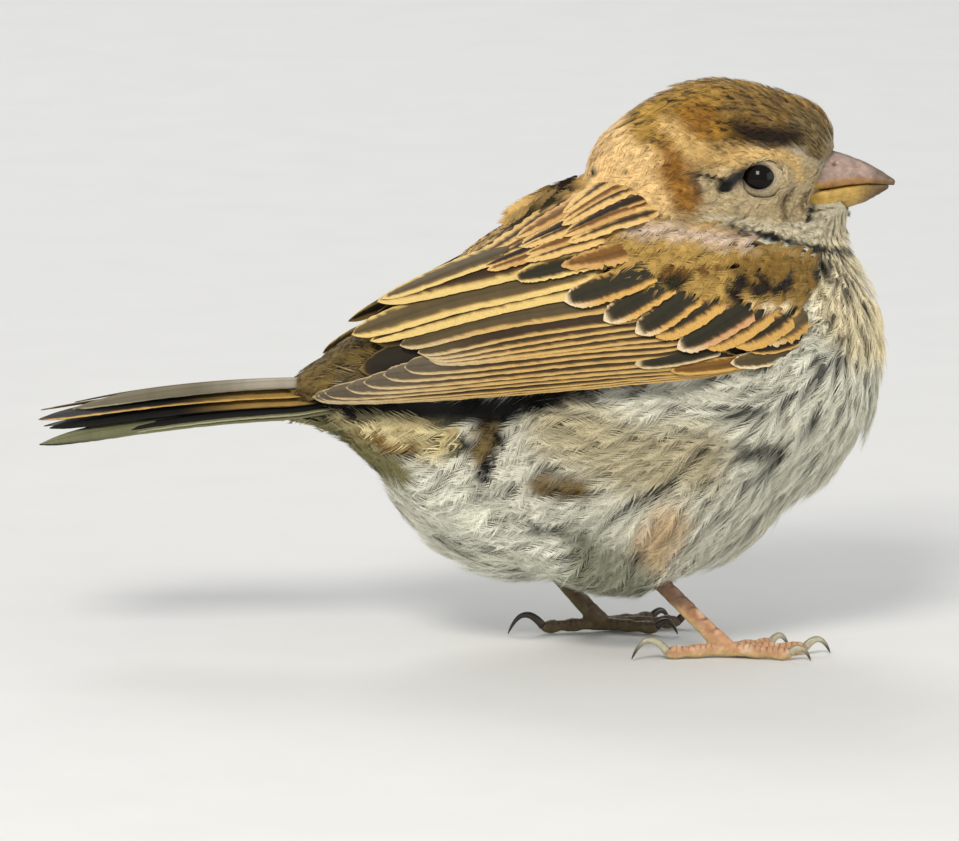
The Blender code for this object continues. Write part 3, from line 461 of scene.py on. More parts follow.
MANTLE_MARKS = (
    (MANTLE, MANTLE_DARK, 0.35, 30, 2, ((20, 70), (0, 58))),
    (MANTLE_ORANGE, MANTLE_DARK, 0.15, 2.2, 2, ((3, 59.2), (8, 61.2), (14, 64.2), (20, 63))),
    (LESSER, LESSER_DARK, 0.2, 12, 3, ((33, 58), (50, 54))),
    (LESSER_FRONT, LESSER_DARK, 0.4, 4, 5, ((43, 56.5), (50, 55))),
    *MANTLE_STRIPES,
    (MANTLE_DARK, SPOT, 0, 0.9, 0.9, ((10.6, 60.6), (13.6, 63))),
    (LESSER_DARK, SPOT, 0.2, 0.6, 0.8, ((16, 57.6), (22, 58.6))),
    (LESSER_DARK, SPOT, 0.2, 0.5, 0.8, ((28, 55.4), (34, 56), (37, 56.6))),
    (COVERT_DARK, SPOT, 0, 1, 1, ((29, 54.4), (32, 54.6))),
    (LAVENDER, CHEEK, 0, 1.2, 2, ((24, 62.4), (32, 61.8), (42, 60.4))),
    (PALE_EDGE, LAVENDER, 0, 0.6, 0.7, ((41.5, 50.6), (48.5, 50.3))),
    (SPOT, BLACK, 0, 1.1, 0.4, ((39.4, 52.9), (40.6, 55))),
    (SPOT, BLACK, 0, 1.1, 0.4, ((42.6, 52.9), (43.9, 54.6))),
    (SPOT, BLACK, 0, 1.1, 0.4, ((45.8, 53.2), (47.2, 54.8))),
    (SPOT, BLACK, 0, 0.9, 0.8, ((52, 56.6), (52.6, 54.8))),
)
UNMARKED_STREAKS = 0.08  # how strongly feathers are streaked where no mark lies


def from_line(points, line):
    """Each point's distance from an open line of two or more points, in the plane of x and level."""
    nearest = np.full(points.shape[:-1], np.inf)
    for start, end in zip(line, line[1:]):
        start, along = np.array(start, float), np.subtract(end, start)
        share = np.clip(((points - start) @ along) / (along @ along), 0.0, 1.0)
        nearest = np.minimum(nearest, np.linalg.norm(points - start - share[..., None] * along, axis=-1))
    return nearest


def markings(points, marks):
    """The plumage's colour, its streaks' colour and how strong they are, at each point."""
    flat = np.stack((points[..., 0], level_of(points)), -1)
    colour, streak = np.broadcast_to(BREAST, points.shape), np.broadcast_to(BREAST_DARK, points.shape)
    strength = np.full(points.shape[:-1], UNMARKED_STREAKS)
    for mark, mark_streak, mark_strength, half, soft, line in marks:
        cover = 1.0 - smoothstep(half - soft / 2, half + soft / 2, from_line(flat, line))
        colour, streak = blend(colour, mark, cover), blend(streak, mark_streak, cover)
        strength += (mark_strength - strength) * cover
    return colour, streak, strength


# --- the skin ---------------------------------------------------------------------------------------------

SKIN_DOWN_AND_SHADE, HEAD_DOWN_AND_SHADE, HEAD_HEIGHT = 0.10, 0.6, 62.0  # how dark the skin is, for its grey down and painted shade between the feathers, and where the head begins
SKIN_VOXEL, SKIN_GROW, SKIN_ROUNDS = 0.85, 0.3, 3
SKIN_CANDIDATES = 140000  # random places tried for the roots of body feathers
RUMP_SINK = 1.8  # how far the rump lies below the coat over the tail's root
RUMP_BACK, RUMP_UP = (-14.0, -24.0), (38.0, 41.0)  # where along x and up the rump sinks, from start to full
BILL_BASE = ((64.4, 67.6, 75.4), (52.8, 50.6, 54.0))  # heights, and where along x the bill comes out there
BILL_FRONT = (-0.7, 0.5)  # how far in front of that base the skin starts to draw in, and is drawn in fully
BILL_LOW, BILL_HIGH = (66.2, 67.2), (76.2, 75.2)  # above and below which heights it does
BILL_ROOM = 2.5  # how far to the side the skin may reach beside the bill
# The body's axis by x and z, which the bake map goes round and along.
AXIS = ((-32.0, 37.0), (0.0, 36.0), (28.0, 36.0), (37.0, 62.0), (44.0, 73.0), (56.0, 71.0))
SEAM_SPAN = 0.94  # how much of the map's width goes once round the body
MAP_SIZE, MAP_CORNER = (1.0, 0.96), (0.01, 0.02)


def body_map(points):
    """A place in the unit square for each point: how far round the body's axis, and how far along it."""
    axis = np.array(AXIS)
    lengths = np.linalg.norm(np.diff(axis, axis=0), axis=1)
    starts = np.concatenate(((0.0,), lengths.cumsum()))
    flat = points[:, (0, 2)]
    nearest = np.full(len(points), np.inf)
    places = np.zeros((len(points), 2))
    for start, end, before, length in zip(axis, axis[1:], starts, lengths):
        ahead = (end - start) / length
        along = np.clip((flat - start) @ ahead, 0.0, length)
        offset = flat - start - along[:, None] * ahead
        apart = np.linalg.norm(offset, axis=1)
        up = offset @ np.array((-ahead[1], ahead[0]))
        turn = np.arctan2(points[:, 1], up) / (2 * math.pi) + 0.5
        found = np.stack((turn * SEAM_SPAN, (before + along) / starts[-1]), 1)
        closer = apart < nearest
        places[closer] = found[closer]
        nearest = np.minimum(nearest, apart)
    return places * MAP_SIZE + MAP_CORNER


def beside_bill(points):
    """How fully each point lies in front of the bill's base, from 0 to 1."""
    ahead = points[:, 0] - np.interp(points[:, 2], *BILL_BASE)
    within = smoothstep(*BILL_LOW, points[:, 2]) * smoothstep(*BILL_HIGH, points[:, 2])
    return smoothstep(*BILL_FRONT, ahead) * within


def clear_of_bill(points):
    """Skin points drawn in beside the bill, so that its base shows."""
    share = beside_bill(points)
    room = np.minimum(np.abs(points[:, 1]), BILL_ROOM) * np.sign(points[:, 1])
    made = points.copy()
    made[:, 1] += (room - points[:, 1]) * share
    return made


class Skin:
    """The bare body under the coat: its points and triangles, and a search tree over them."""

    def __init__(self, guides):
        shells = [grown(node, SKIN_GROW) for node in FLESH]
        points, self.faces, normals = fused("skin_form", shells, SKIN_VOXEL, SKIN_ROUNDS)
        depth = guides.at(points)[1]["depth"] + SKIN_GROW
        self.points = clear_of_bill(points - normals * depth[:, None])
        rump = smoothstep(*RUMP_BACK, self.points[:, 0]) * smoothstep(*RUMP_UP, self.points[:, 2])
        self.points[:, 2] -= RUMP_SINK * rump
        self.tree = BVHTree.FromPolygons(self.points.tolist(), self.faces.tolist())

    def nearest(self, points):
        """The closest skin point to each point, and the outward normal there."""
        found = [self.tree.find_nearest(Vector(point)) for point in points]
        return np.array([hit[0] for hit in found]), np.array([hit[1] for hit in found])

    def roots(self, guides, rng):
        """Feather roots spread over the skin, each no closer to the next than the guides' spacing."""
        corners = self.points[self.faces]
        across = np.cross(corners[:, 1] - corners[:, 0], corners[:, 2] - corners[:, 0])
        area = np.linalg.norm(across, axis=1)
        chosen = rng.choice(len(area), SKIN_CANDIDATES, p=area / area.sum())
        mix = rng.dirichlet((1.0, 1.0, 1.0), SKIN_CANDIDATES)
        places = (corners[chosen] * mix[:, :, None]).sum(1)
        spacing = guides.at(places)[1]["spacing"] * CROWDING
        return places[spread(places, spacing)]


def too_close(first, second, gap):
    """Whether two points lie nearer to each other than the gap."""
    (u, v, w), (a, b, c) = first, second
    return (u - a) ** 2 + (v - b) ** 2 + (w - c) ** 2 < gap * gap


def spread(places, spacing):
    """Numbers of the places that stay when each is kept at least its spacing from those kept before it."""
    cell = float(spacing.max())
    kept, grid = [], {}
    for number, (place, gap) in enumerate(zip(places, spacing)):
        home = tuple(int(value // cell) for value in place)
        around = product(*((step - 1, step, step + 1) for step in home))
        near = (other for key in around for other in grid.get(key, ()))
        if not any(too_close(places[other], place, gap) for other in near):
            kept.append(number)
            grid.setdefault(home, []).append(number)
    return np.array(kept)


# --- body feathers ----------------------------------------------------------------------------------------

SHAFT = 0.84  # how far along a body feather its shaft reaches; the last barbs reach past it
BEND, BEND_AHEAD = 0.55, 0.42  # where along a barb it bends, and how much of its sweep it has made there
BARB_CROWDING = 1.45  # over 1, barbs stand closer towards the tip
TIP_REACH = 0.22  # how far the last barbs reach, as a share of the longest
ROOT_REACH, ROOT_START, ROOT_POWER = 0.35, 0.05, 0.6  # barbs widen up to the first, starting before the root
STATIONS = 8  # points along a feather's middle line
LOCK_SPACING = 3.4  # how far apart locks of feathers are
LOCK_EASE = 0.3  # how strongly a kind gathers when half of what its feathers do is shared by their lock
PATCH, PATCH_SHAPE = 0.003, (0.5, 1.0)  # how wide a feather's patch in the bake map is
SIZE_SPREAD = (0.85, 1.15)  # the least and the greatest size of a feather, as shares of its guides'
SWING, LOCK_SWING = 0.12, 0.16  # how far one feather, and a whole lock, turns from its lie
RISE, RISE_SPREAD = 0.82, 0.2  # how much of the coat's depth a tip rises, and how much that differs
STAND, LOCK_STAND, MOST_STAND = (0.35, 0.4), (0.4, 0.5), 1.4  # mean and spread of how far tips stand out
RISE_POWER, ROOT_DEPTH = 0.75, 0.15  # how soon a feather rises, and how far below the skin its root lies
MARK_WANDER = 0.2  # how far a feather's markings stray
TINT_SPREAD = 0.08  # how much feathers differ in brightness
STREAK_SPREAD, STREAK_SOFT = (0.1, 1.6), 0.2  # how much streaks differ in strength, and how soft they are
STREAK_END = 0.88  # where along the feather its streak narrows
DOWN_END = (0.1, 0.6)  # where along it the dark root ends: grey down, and painted shade under the feathers over it
TIP_LIGHT = 0.12  # how much lighter its tip is


def barb_reach(middle):
    """How far a barb reaches, as a share of the half width, from its place along the shaft."""
    towards_tip = TIP_REACH + (1.0 - TIP_REACH) * math.sqrt(1.0 - middle**3)
    return towards_tip * min(1.0, (middle + ROOT_START) / ROOT_REACH) ** ROOT_POWER


def barbed_vane(kind, rng):
    """A body feather laid flat: its points by share along, share across and height, and its triangles."""
    stops = 1.0 - (1.0 - np.arange(kind.barbs + 1) / kind.barbs) ** BARB_CROWDING
    points = [(stop * SHAFT, 0.0, 0.0) for stop in stops]
    faces = []
    for side, k in product((1, -1), range(kind.barbs)):
        middle = (stops[k] + stops[k + 1]) / 2
        reach = barb_reach(middle) * (1.0 + kind.unevenness * rng.normal())
        forward = reach * kind.sweep * (1.0 + 0.5 * kind.unevenness * rng.normal())
        half = (stops[k + 1] - stops[k]) * SHAFT * (1.0 - kind.gap) / 2
        lift = kind.unevenness * 0.6 * rng.normal()
        bend = middle * SHAFT + forward * BEND_AHEAD
        first = len(points)
        across = side * reach * BEND
        low = -kind.arch * BEND**2 + lift * 0.5
        points += [(bend - half, across, low), (bend + half, across, low)]
        points.append((middle * SHAFT + forward, side * reach, lift - kind.arch))
        near, far = (k, k + 1) if side > 0 else (k + 1, k)
        a, b = (first, first + 1) if side > 0 else (first + 1, first)
        faces += [(near, far, b), (near, b, a), (a, b, first + 2)]
    points = np.array(points)
    points[:, 0] /= points[:, 0].max()
    return points, np.array(faces)


class Coat:
    """Feathers gathered for one piece, then made into one object."""

    def __init__(self):
        self.points, self.faces, self.colours, self.barbs, self.places = [], [], [], [], []
        self.count = 0

    def add(self, points, faces, colours, barbs, places):
        """Adds feathers: arrays of (feathers, points, ...) that share one set of triangles."""
        feathers, each = points.shape[:2]
        starts = self.count + each * np.arange(feathers)
        self.faces.append((faces[None] + starts[:, None, None]).reshape(-1, 3))
        self.points.append(points.reshape(-1, 3))
        self.colours.append(colours.reshape(-1, 3))
        self.barbs.append(barbs.reshape(-1))
        self.places.append(places.reshape(-1, 2))
        self.count += feathers * each

    def build(self, name, material, slot, nodes=()):
        """The coat as one object, which stands for the nodes. The slot is not used."""
        faces = np.concatenate(self.faces)
        made = mesh_object(name, np.concatenate(self.points), faces)
        paint_points(made.data, np.concatenate(self.colours))
        point_layer(made.data, BARB, "FLOAT", np.concatenate(self.barbs))
        bake_map(made.data, np.concatenate(self.places)[faces])
        register(made, material, nodes)
        return made


@dataclass(frozen=True)
class Laid:
    """Feathers as they lie: their middle lines, the normals there, half widths and places in the bake map."""

    lines: np.ndarray
    normals: np.ndarray
    half_widths: np.ndarray
    places: np.ndarray

    def some(self, chosen):
        """Only the chosen feathers."""
        parts = (self.lines, self.normals, self.half_widths, self.places)
        return Laid(*(part[chosen] for part in parts))


def locks(roots):
    """The way from each root to the middle of its lock, and the lock's number and how many there are."""
    middles = roots[spread(roots, np.full(len(roots), LOCK_SPACING))]
    tree = kdtree.KDTree(len(middles))
    for number, place in enumerate(middles):
        tree.insert(Vector(place), number)
    tree.balance()
    found = [tree.find(Vector(root)) for root in roots]
    return np.array([hit[0] for hit in found]) - roots, np.array([hit[1] for hit in found]), len(middles)


def middle_lines(roots, skin, guides, rng):
    """Each feather's middle line and the normals along it, as it lies over the skin from its root."""
    count = len(roots)
    place, normal = skin.nearest(roots)
    _, sizes, near = guides.at(roots)
    length = sizes["length"] * rng.uniform(*SIZE_SPREAD, count)
    gather = np.array([KINDS[kind].gather for kind in guides.kinds[near]])
    drift, lock, lock_count = locks(roots)
    shared = gather / (gather + LOCK_EASE)
    swing = rng.normal(0.0, SWING, count) + rng.normal(0.0, LOCK_SWING, lock_count)[lock] * shared
    rise = RISE + rng.uniform(-RISE_SPREAD, RISE_SPREAD, count) * (1.0 - shared)
    rise = rise + rng.uniform(-RISE_SPREAD, RISE_SPREAD, lock_count)[lock] * shared
    stand = rng.normal(*STAND, count) * (1.0 - shared) + rng.normal(*LOCK_STAND, lock_count)[lock] * shared
    stand = np.clip(stand, 0.0, MOST_STAND)
    lines, normals = [], []
    for share in np.arange(STATIONS) / (STATIONS - 1):
        lie, sizes, _ = guides.at(place)
        along = unit(lie - (lie * normal).sum(1, keepdims=True) * normal)
        sideways = np.cross(normal, along)
        along = along * np.cos(swing)[:, None] + sideways * np.sin(swing)[:, None]
        height = sizes["depth"] * rise * share**RISE_POWER + sizes["stand"] * stand * share**2
        height = height - ROOT_DEPTH * (1 - share)
        pull = (drift * sideways).sum(1) * gather * share
        lines.append(place + normal * height[:, None] + sideways * pull[:, None])
        normals.append(normal)
        place, facing = skin.nearest(place + along * (length / (STATIONS - 1))[:, None])
        normal = unit(normal * 0.5 + facing)
    return np.stack(lines, 1), np.stack(normals, 1)


# Where a folded wing hides the coat: up to which level at each x, how far from the middle plane, and how far
# above the wing's lower edge.
HIDDEN_TOP = ((-6.0, 5.0, 20.0, 44.0), (48.0, 53.0, 56.0, 56.0))
HIDDEN_SIDE, HIDDEN_MARGIN = 7.0, 3.5
# Where no feathers grow: round the eye, in the wing's shadow, over the tail's root and beside the bill.
EYE_BARE, EYE_BARE_SHAPE, EYE_BARE_SIDE = 2.3, (0.92, 1.08), 4.0
SHADOW_LINE, SHADOW_HALF, SHADOW_SIDE = ((-24.0, 36.0), (-6.0, 36.2), (5.0, 36.8), (13.0, 38.0)), 1.9, 5.0
TAIL_BARE, BILL_BARE = (-21.5, 40.0), 0.45


def under_wing(points):
    """Which points lie so far under the folded wing that no feather there shows."""
    x, level = points[:, 0], level_of(points)
    back, *_, front = HIDDEN_TOP[0]
    covered = (x > back) & (x < front) & (np.abs(points[:, 1]) > HIDDEN_SIDE)
    return covered & (level > wing_edge(x) + HIDDEN_MARGIN) & (level < np.interp(x, *HIDDEN_TOP))


def bare_spots(points):
    """Which points bear no feathers."""
    left = mirrored(points)
    x, side, z = left.T
    from_eye = np.linalg.norm((left - EYE_PLACE - LID_SHIFT)[:, (0, 2)] * EYE_BARE_SHAPE, axis=1)
    by_eye = (from_eye < EYE_BARE) & (side > EYE_BARE_SIDE)
    flat = np.stack((x, level_of(points)), 1)
    shaded = (from_line(flat, SHADOW_LINE) < SHADOW_HALF) & (side > SHADOW_SIDE)
    by_tail = (x < TAIL_BARE[0]) & (z > TAIL_BARE[1])
    return by_eye | shaded | by_tail | (beside_bill(points) > BILL_BARE)


def grow_coat(skin, guides, rng, coats):
    """Covers the skin with body feathers, sharing them out among the coats by tract and side."""
    roots = skin.roots(guides, rng)
    roots = roots[~(under_wing(roots) | bare_spots(roots))]
    lines, normals = middle_lines(roots, skin, guides, rng)
    _, sizes, nearest = guides.at(roots)
    half_widths = sizes["half_width"] * rng.uniform(*SIZE_SPREAD, len(roots))
    laid = Laid(lines, normals, half_widths, body_map(roots))
    kinds, tracts = guides.kinds[nearest], guides.tracts[nearest]
    for name, kind in KINDS.items():
        for mine, vane in patterned(kind, np.flatnonzero(kinds == name), rng):
            for tract, (side_name, side) in product(np.unique(tracts[mine]), SIDES.items()):
                here = mine[(tracts[mine] == tract) & (roots[mine, 1] * side > 0)]
                if len(here):
                    marks = BODY_MARKS + (MANTLE_STRIPES if tract == "mantle" else ())
                    add_feathers(coats[f"{tract}_{side_name}"], kind, vane, laid.some(here), marks, rng)


def patterned(kind, members, rng):
    """Shares the members of a kind out among its patterns: some members, and the flat feather they share."""
    for number in range(kind.patterns):
        yield members[number :: kind.patterns], barbed_vane(kind, rng)


def add_feathers(coat, kind, vane, laid, marks, rng):
    """Adds feathers that share one flat feather to a coat, with the markings of where they lie."""
    flat, faces = vane
    points = shape_feathers(flat, laid)
    colours = feather_colours(flat, laid.lines, marks, kind, rng)
    barbs = np.broadcast_to(flat[:, 0] * 10.0 - np.abs(flat[:, 1]) * 2.0, points.shape[:2])
    coat.add(points, faces, colours, barbs, laid.places[:, None] + PATCH * flat[None, :, :2] * PATCH_SHAPE)


def shape_feathers(flat, laid):
    """A flat feather bent along each middle line."""
    weights = spline_weights(flat[:, 0], STATIONS)
    stations = (laid.lines, laid.normals, np.gradient(laid.lines, axis=1))
    centre, normal, ahead = (np.einsum("vk,nkc->nvc", weights, part) for part in stations)
    sideways = unit(np.cross(unit(normal), ahead))
    normal = unit(np.cross(ahead, sideways))
    across = (flat[:, 1] * laid.half_widths[:, None])[..., None]
    height = (flat[:, 2] * laid.half_widths[:, None])[..., None]
    return centre + sideways * across + normal * height


def feather_colours(flat, lines, marks, kind, rng):
    """Colours for each point: a dark root of down and painted shade, a streak by the shaft and the marking at
    the edge.
    """
    feathers = len(lines)
    shifted = lines + rng.normal(0.0, MARK_WANDER, (feathers, 1, 3)) * (1.0, 0.0, 1.0)
    weights = spline_weights(flat[:, 0], STATIONS)
    colour, streak, strength = markings(shifted, marks)
    colour, streak, strength = (weights @ part for part in (colour, streak, strength[..., None]))
    colour = colour * (1.0 + rng.normal(0.0, TINT_SPREAD, (feathers, 1, 1)))
    along, across = flat[:, 0], np.abs(flat[:, 1])
    edge = (kind.streak_reach - STREAK_SOFT, kind.streak_reach + STREAK_SOFT)
    near_shaft = 1.0 - smoothstep(*edge, across + 0.5 * (along > STREAK_END))
    streaky = np.clip(strength[..., 0] * rng.uniform(*STREAK_SPREAD, (feathers, 1)), 0.0, 1.0)
    mix = (near_shaft * streaky)[..., None]
    made = colour * (1.0 - mix) + streak * mix
    # the root darkened: its grey down, and painted shade where other feathers lie over it
    down = 1.0 - smoothstep(*DOWN_END, along)[None, :, None]
    made = made * (1.0 - down) + made * kind.root_down_and_shade * down
    return made * (1.0 + TIP_LIGHT * smoothstep(0.5, 1.0, along)[None, :, None])


# --- the wing's surface -----------------------------------------------------------------------------------

# The folded wings lie on a cowl round the body: at each x its half width, the level below which its side is
# upright, and its ridge.
COWL = (
    (-26, 6, 37.6, 46),
    (-18, 8.8, 38.2, 51),
    (-8, 13.2, 39.6, 56.2),
    (4, 18, 41.8, 62.6),
    (16, 21.4, 43.6, 69.7),
    (30, 22.8, 45.2, 73),
    (42, 20.9, 48, 72),
    (48.5, 17.2, 50, 70.5),
    (53.5, 11.8, 51.5, 69),
)
COWL_TUCK = 0.10  # how much it narrows below, for each millimetre down
COWL_TOP = 0.985  # how near its ridge the cowl reaches
COWL_START, COWL_ROUNDS, COWL_STEP = 15.0, 14, 0.4  # for finding places on it, and its slope there


def monotone_curve(stations):
    """A function of x through stations (x, value, ...) that never overshoots them."""
    table = np.array(stations, float)
    xs, values = table[:, 0], table[:, 1:]
    steps = np.diff(xs)[:, None]
    slopes = np.diff(values, axis=0) / steps
    inner = np.where(slopes[:-1] * slopes[1:] > 0, 2 * slopes[:-1] * slopes[1:], 0.0)
    inner = inner / np.where(inner != 0, slopes[:-1] + slopes[1:], 1.0)
    tangents = np.vstack([slopes[:1], inner, slopes[-1:]])

    def at(x):
        """The curve's values at each x."""
        x = np.clip(x, xs[0], xs[-1])
        i = np.minimum(np.searchsorted(xs, x, side="right") - 1, len(xs) - 2)
        h = (xs[i + 1] - xs[i])[:, None]
        t = (x - xs[i])[:, None] / h
        start = (1 + 2 * t) * (1 - t) ** 2 * values[i] + t * (1 - t) ** 2 * h * tangents[i]
        return start + t * t * (3 - 2 * t) * values[i + 1] + t * t * (t - 1) * h * tangents[i + 1]

    return at


cowl_at = monotone_curve(COWL)
WING_EDGE = ((-23.0, 36.4), (0.0, 37.4), (12.0, 38.6), (24.0, 39.8), (38.0, 41.3), (47.0, 43.6))
lower_line = monotone_curve(WING_EDGE)


def wing_edge(x):
    """The level of the folded wing's lower edge."""
    return lower_line(x)[:, 0]


def cowl_side(x, z, outward):
    """The cowl's distance from the middle plane at (x, z), moved outward."""
    half, level, ridge = cowl_at(x).T
    upright = half + outward - COWL_TUCK * (level - z)
    share = np.clip((z - level) / (ridge + outward - level), 0.0, COWL_TOP)
    return np.where(z <= level, upright, (half + outward) * np.sqrt(1.0 - share * share))


def on_cowl(flat, outward, side):
    """Points on the cowl of one side from x and level, moved outward."""
    x, level = flat[:, 0], flat[:, 1]
    away = np.full(len(x), COWL_START)
    for _ in range(COWL_ROUNDS):
        away = 0.5 * away + 0.5 * cowl_side(x, level + LEAN * away, outward)
    return np.stack((x, side * away, level + LEAN * away), 1)


def cowl_normals(flat, outward, side):
    """The cowl's outward directions at places given by x and level."""
    here = on_cowl(flat, outward, side)
    forward = on_cowl(flat + (COWL_STEP, 0.0), outward, side) - here
    upward = on_cowl(flat + (0.0, COWL_STEP), outward, side) - here
    return unit(np.cross(forward, upward) * -side)


# --- feathers of the wing's shoulder -----------------------------------------------------------------------

# Each row: kind, place and lie by x and level, length, half width, spacing, and how far outward it grows.
SHOULDER_GUIDES = (
    ("small", (52, 57), (-0.70, -0.70), 3.6, 0.95, 0.95, 0.4),
    ("small", (45, 58.5), (-0.86, -0.50), 4.2, 1, 1, 0.35),
    ("small", (34, 58.5), (-0.92, -0.38), 4.8, 1.1, 1.1, 0.3),
    ("small", (25, 58.5), (-0.92, -0.38), 5.2, 1.2, 1.2, 0.2),
    ("small", (46, 53), (-0.78, -0.62), 4.4, 1.1, 1.1, 0.4),
    ("small", (32, 55.5), (-0.84, -0.54), 4.6, 1.15, 1.15, 0.4),
    ("soft", (38, 61.5), (-0.97, -0.22), 5, 1, 0.85, 0.3),
    ("soft", (26, 62.5), (-0.96, -0.28), 5.4, 1.1, 0.95, 0.1),
    ("streaked", (13, 60.5), (-0.90, -0.44), 6.5, 1.2, 1.1, 0.1),
    ("streaked", (12, 65.5), (-0.80, -0.60), 7.5, 1, 1, -0.9),
    ("streaked", (20, 68.5), (-0.80, -0.60), 7, 1, 1, -0.9),
)
# Where these feathers grow: half width, and the line followed by x and level.
SHOULDER_AREAS = (
    (3.0, ((27, 60.0), (38, 59.2), (50, 57.2))),
    (2.0, ((31, 57.0), (40, 55.4), (50, 54.0))),
    (1.6, ((28, 62.8), (39, 62.0))),
    (2.8, ((13, 62.0), (25, 61.6))),
    (2.6, ((13, 66.0), (22, 69.0))),
)
SHOULDER_CORNER, SHOULDER_FIELD = (8.0, 50.0), (46.0, 22.0)  # the field that holds them, by x and level
SHOULDER_CANDIDATES = 12000  # random places tried in it
SHOULDER_REACH, SHOULDER_POWER = 2.0, 2.0
SHOULDER_RISE = 0.55  # how much further outward than their roots these feathers' tips lie
SHOULDER_RISE_SPREAD, SHOULDER_SWING = (0.7, 1.05), 0.10
SHOULDER_GAP = 0.5  # how open their barbs are, as a share of the same kind's on the body


def shoulder_roots(rng):
    """Where the shoulder's feathers grow, by x and level, with their kinds, lies and sizes."""
    flat = np.array(SHOULDER_CORNER) + rng.random((SHOULDER_CANDIDATES, 2)) * SHOULDER_FIELD
    flat = flat[np.any([from_line(flat, line) < half for half, line in SHOULDER_AREAS], axis=0)]
    kinds, places, lies = (np.array([row[i] for row in SHOULDER_GUIDES]) for i in range(3))
    apart = np.linalg.norm(flat[:, None] - places, axis=2)
    weights = guide_weights(apart**2, SHOULDER_REACH, SHOULDER_POWER)
    sizes = weights @ np.array([row[3:] for row in SHOULDER_GUIDES])
    kept = spread(np.insert(flat, 1, 0.0, axis=1), sizes[:, 2])
    return flat[kept], kinds[apart[kept].argmin(1)], (weights @ lies)[kept], sizes[kept]


def shoulder_feathers(side_name, material, rng):
    """The small soft coverts and the feathers over the wing's root, on one side."""
    flat, kinds, lie, sizes = shoulder_roots(rng)
    swing = rng.normal(0.0, SHOULDER_SWING, len(flat))
    ahead = unit(lie + np.stack((-lie[:, 1], lie[:, 0]), 1) * swing[:, None])
    rise = rng.uniform(*SHOULDER_RISE_SPREAD, len(flat))
    shares = np.linspace(0.0, 1.0, STATIONS)
    lines = flat[:, None] + ahead[:, None] * (sizes[:, :1] * shares)[..., None]
    outward = sizes[:, 3:] + SHOULDER_RISE * rise[:, None] * shares
    where = (lines.reshape(-1, 2), outward.ravel(), SIDES[side_name])
    surface, normals = (find(*where).reshape(*lines.shape[:2], 3) for find in (on_cowl, cowl_normals))
    laid = Laid(surface, normals, sizes[:, 1], body_map(surface[:, 0]))
    coat = Coat()
    for name in np.unique(kinds):
        kind = replace(KINDS[name], gap=KINDS[name].gap * SHOULDER_GAP)
        for mine, vane in patterned(kind, np.flatnonzero(kinds == name), rng):
            add_feathers(coat, kind, vane, laid.some(mine), MANTLE_MARKS, rng)
    coat.build(f"coat_shoulder_{side_name}", material, "plumage_brown")


# --- flight feathers --------------------------------------------------------------------------------------

ACROSS = np.array((-1.0, -0.93, -0.82, -0.68, -0.5, -0.3, -0.12, 0.0, 0.12, 0.35, 0.6, 0.82, 1.0))
WARM_TINT, WARM_COVER = np.array((0.42, 0.30, 0.18)), 0.55  # turns a fringe's colour into the brown inside it
SHAFT_ACROSS, SHAFT_HALF, SHAFT_SHADE = 0.05, 0.07, 0.45  # where across the shaft lies, and how dark it is
SHAFT_RIDGE, SHAFT_RIDGE_HALF = 0.08, 0.09  # how far it stands out
FRINGE_WANDER, VANE_TINT, ROW_TINT = 0.10, 0.06, 0.05  # how uneven fringes, whole vanes and their rows are
UNDERSIDE = 0.75  # how dark the underside is next to the upper side
PATCH_EDGE = 0.04  # how much of its cell in the bake map a feather leaves free on each side
VANE_CREASE = math.radians(75.0)  # edges sharper than this are not smoothed over


@dataclass(frozen=True)
class Feather:
    """A flight feather or covert, in millimetres. Its exposed edge is the one below, or the outer one."""

    half_width: float
    dark: np.ndarray
    fringe: np.ndarray
    fringe_width: float
    tip_fringe: float = 0.6
    tip_colour: np.ndarray | None = None
    bluntness: float = 6.0
    thickness: float = 0.14
    arch: float = 0.12
    tilt: float = 0.24
    rows: int = 44
    fray: float = 0.04
    inner_fringe: float = 0.35
    tip_dark: np.ndarray | None = None
    root_dark: np.ndarray | None = None


def vane_outline(shares, bluntness):
    """A vane's half width, as a share of its widest, along its length."""
    root = smoothstep(-0.02, 0.16, shares) * 0.5 + 0.5
    return root * np.maximum(1.0 - shares**bluntness, 0.0) ** 0.5


def vane_faces(rows, columns):
    """Triangles of a closed vane: its upper face, then its lower one, which shares the upper one's rim."""
    upper = np.arange(rows * columns).reshape(rows, columns)
    lower = upper.copy()
    inner = (rows - 2) * (columns - 2)
    lower[1:-1, 1:-1] = rows * columns + np.arange(inner).reshape(rows - 2, columns - 2)
    quads = ((grid[:-1, :-1], grid[1:, :-1], grid[1:, 1:], grid[:-1, 1:]) for grid in (upper, lower))
    return np.concatenate([halved(*corners[::turn]) for corners, turn in zip(quads, (1, -1))])


def vane_sheet(feather, length, rng):
    """Shares along and across for a vane's points, and its half width at each row."""
    shares = 1.0 - (1.0 - np.linspace(0.0, 1.0, feather.rows)) ** 1.5
    widths = feather.half_width * vane_outline(shares, feather.bluntness)
    ragged = 1.0 + feather.fray * rng.normal(size=(feather.rows, 2)) * (shares > 0.05)[:, None]
    across = ACROSS[None] * np.where(ACROSS[None] < 0, ragged[:, :1], ragged[:, 1:])
    tip = np.abs(ACROSS)[None] ** 2.2 * widths.max() / length * smoothstep(0.7, 1.0, shares)[:, None]
    return shares[:, None] - tip * 0.35, across, widths


def vane_ground(feather, along):
    """The dark ground colour of a vane, from its root to its tip."""
    tip, root = (feather.dark if end is None else end for end in (feather.tip_dark, feather.root_dark))
    dark = blend(feather.dark, tip, smoothstep(0.7, 0.9, along))
    return blend(root, dark, smoothstep(0.22, 0.55, along))


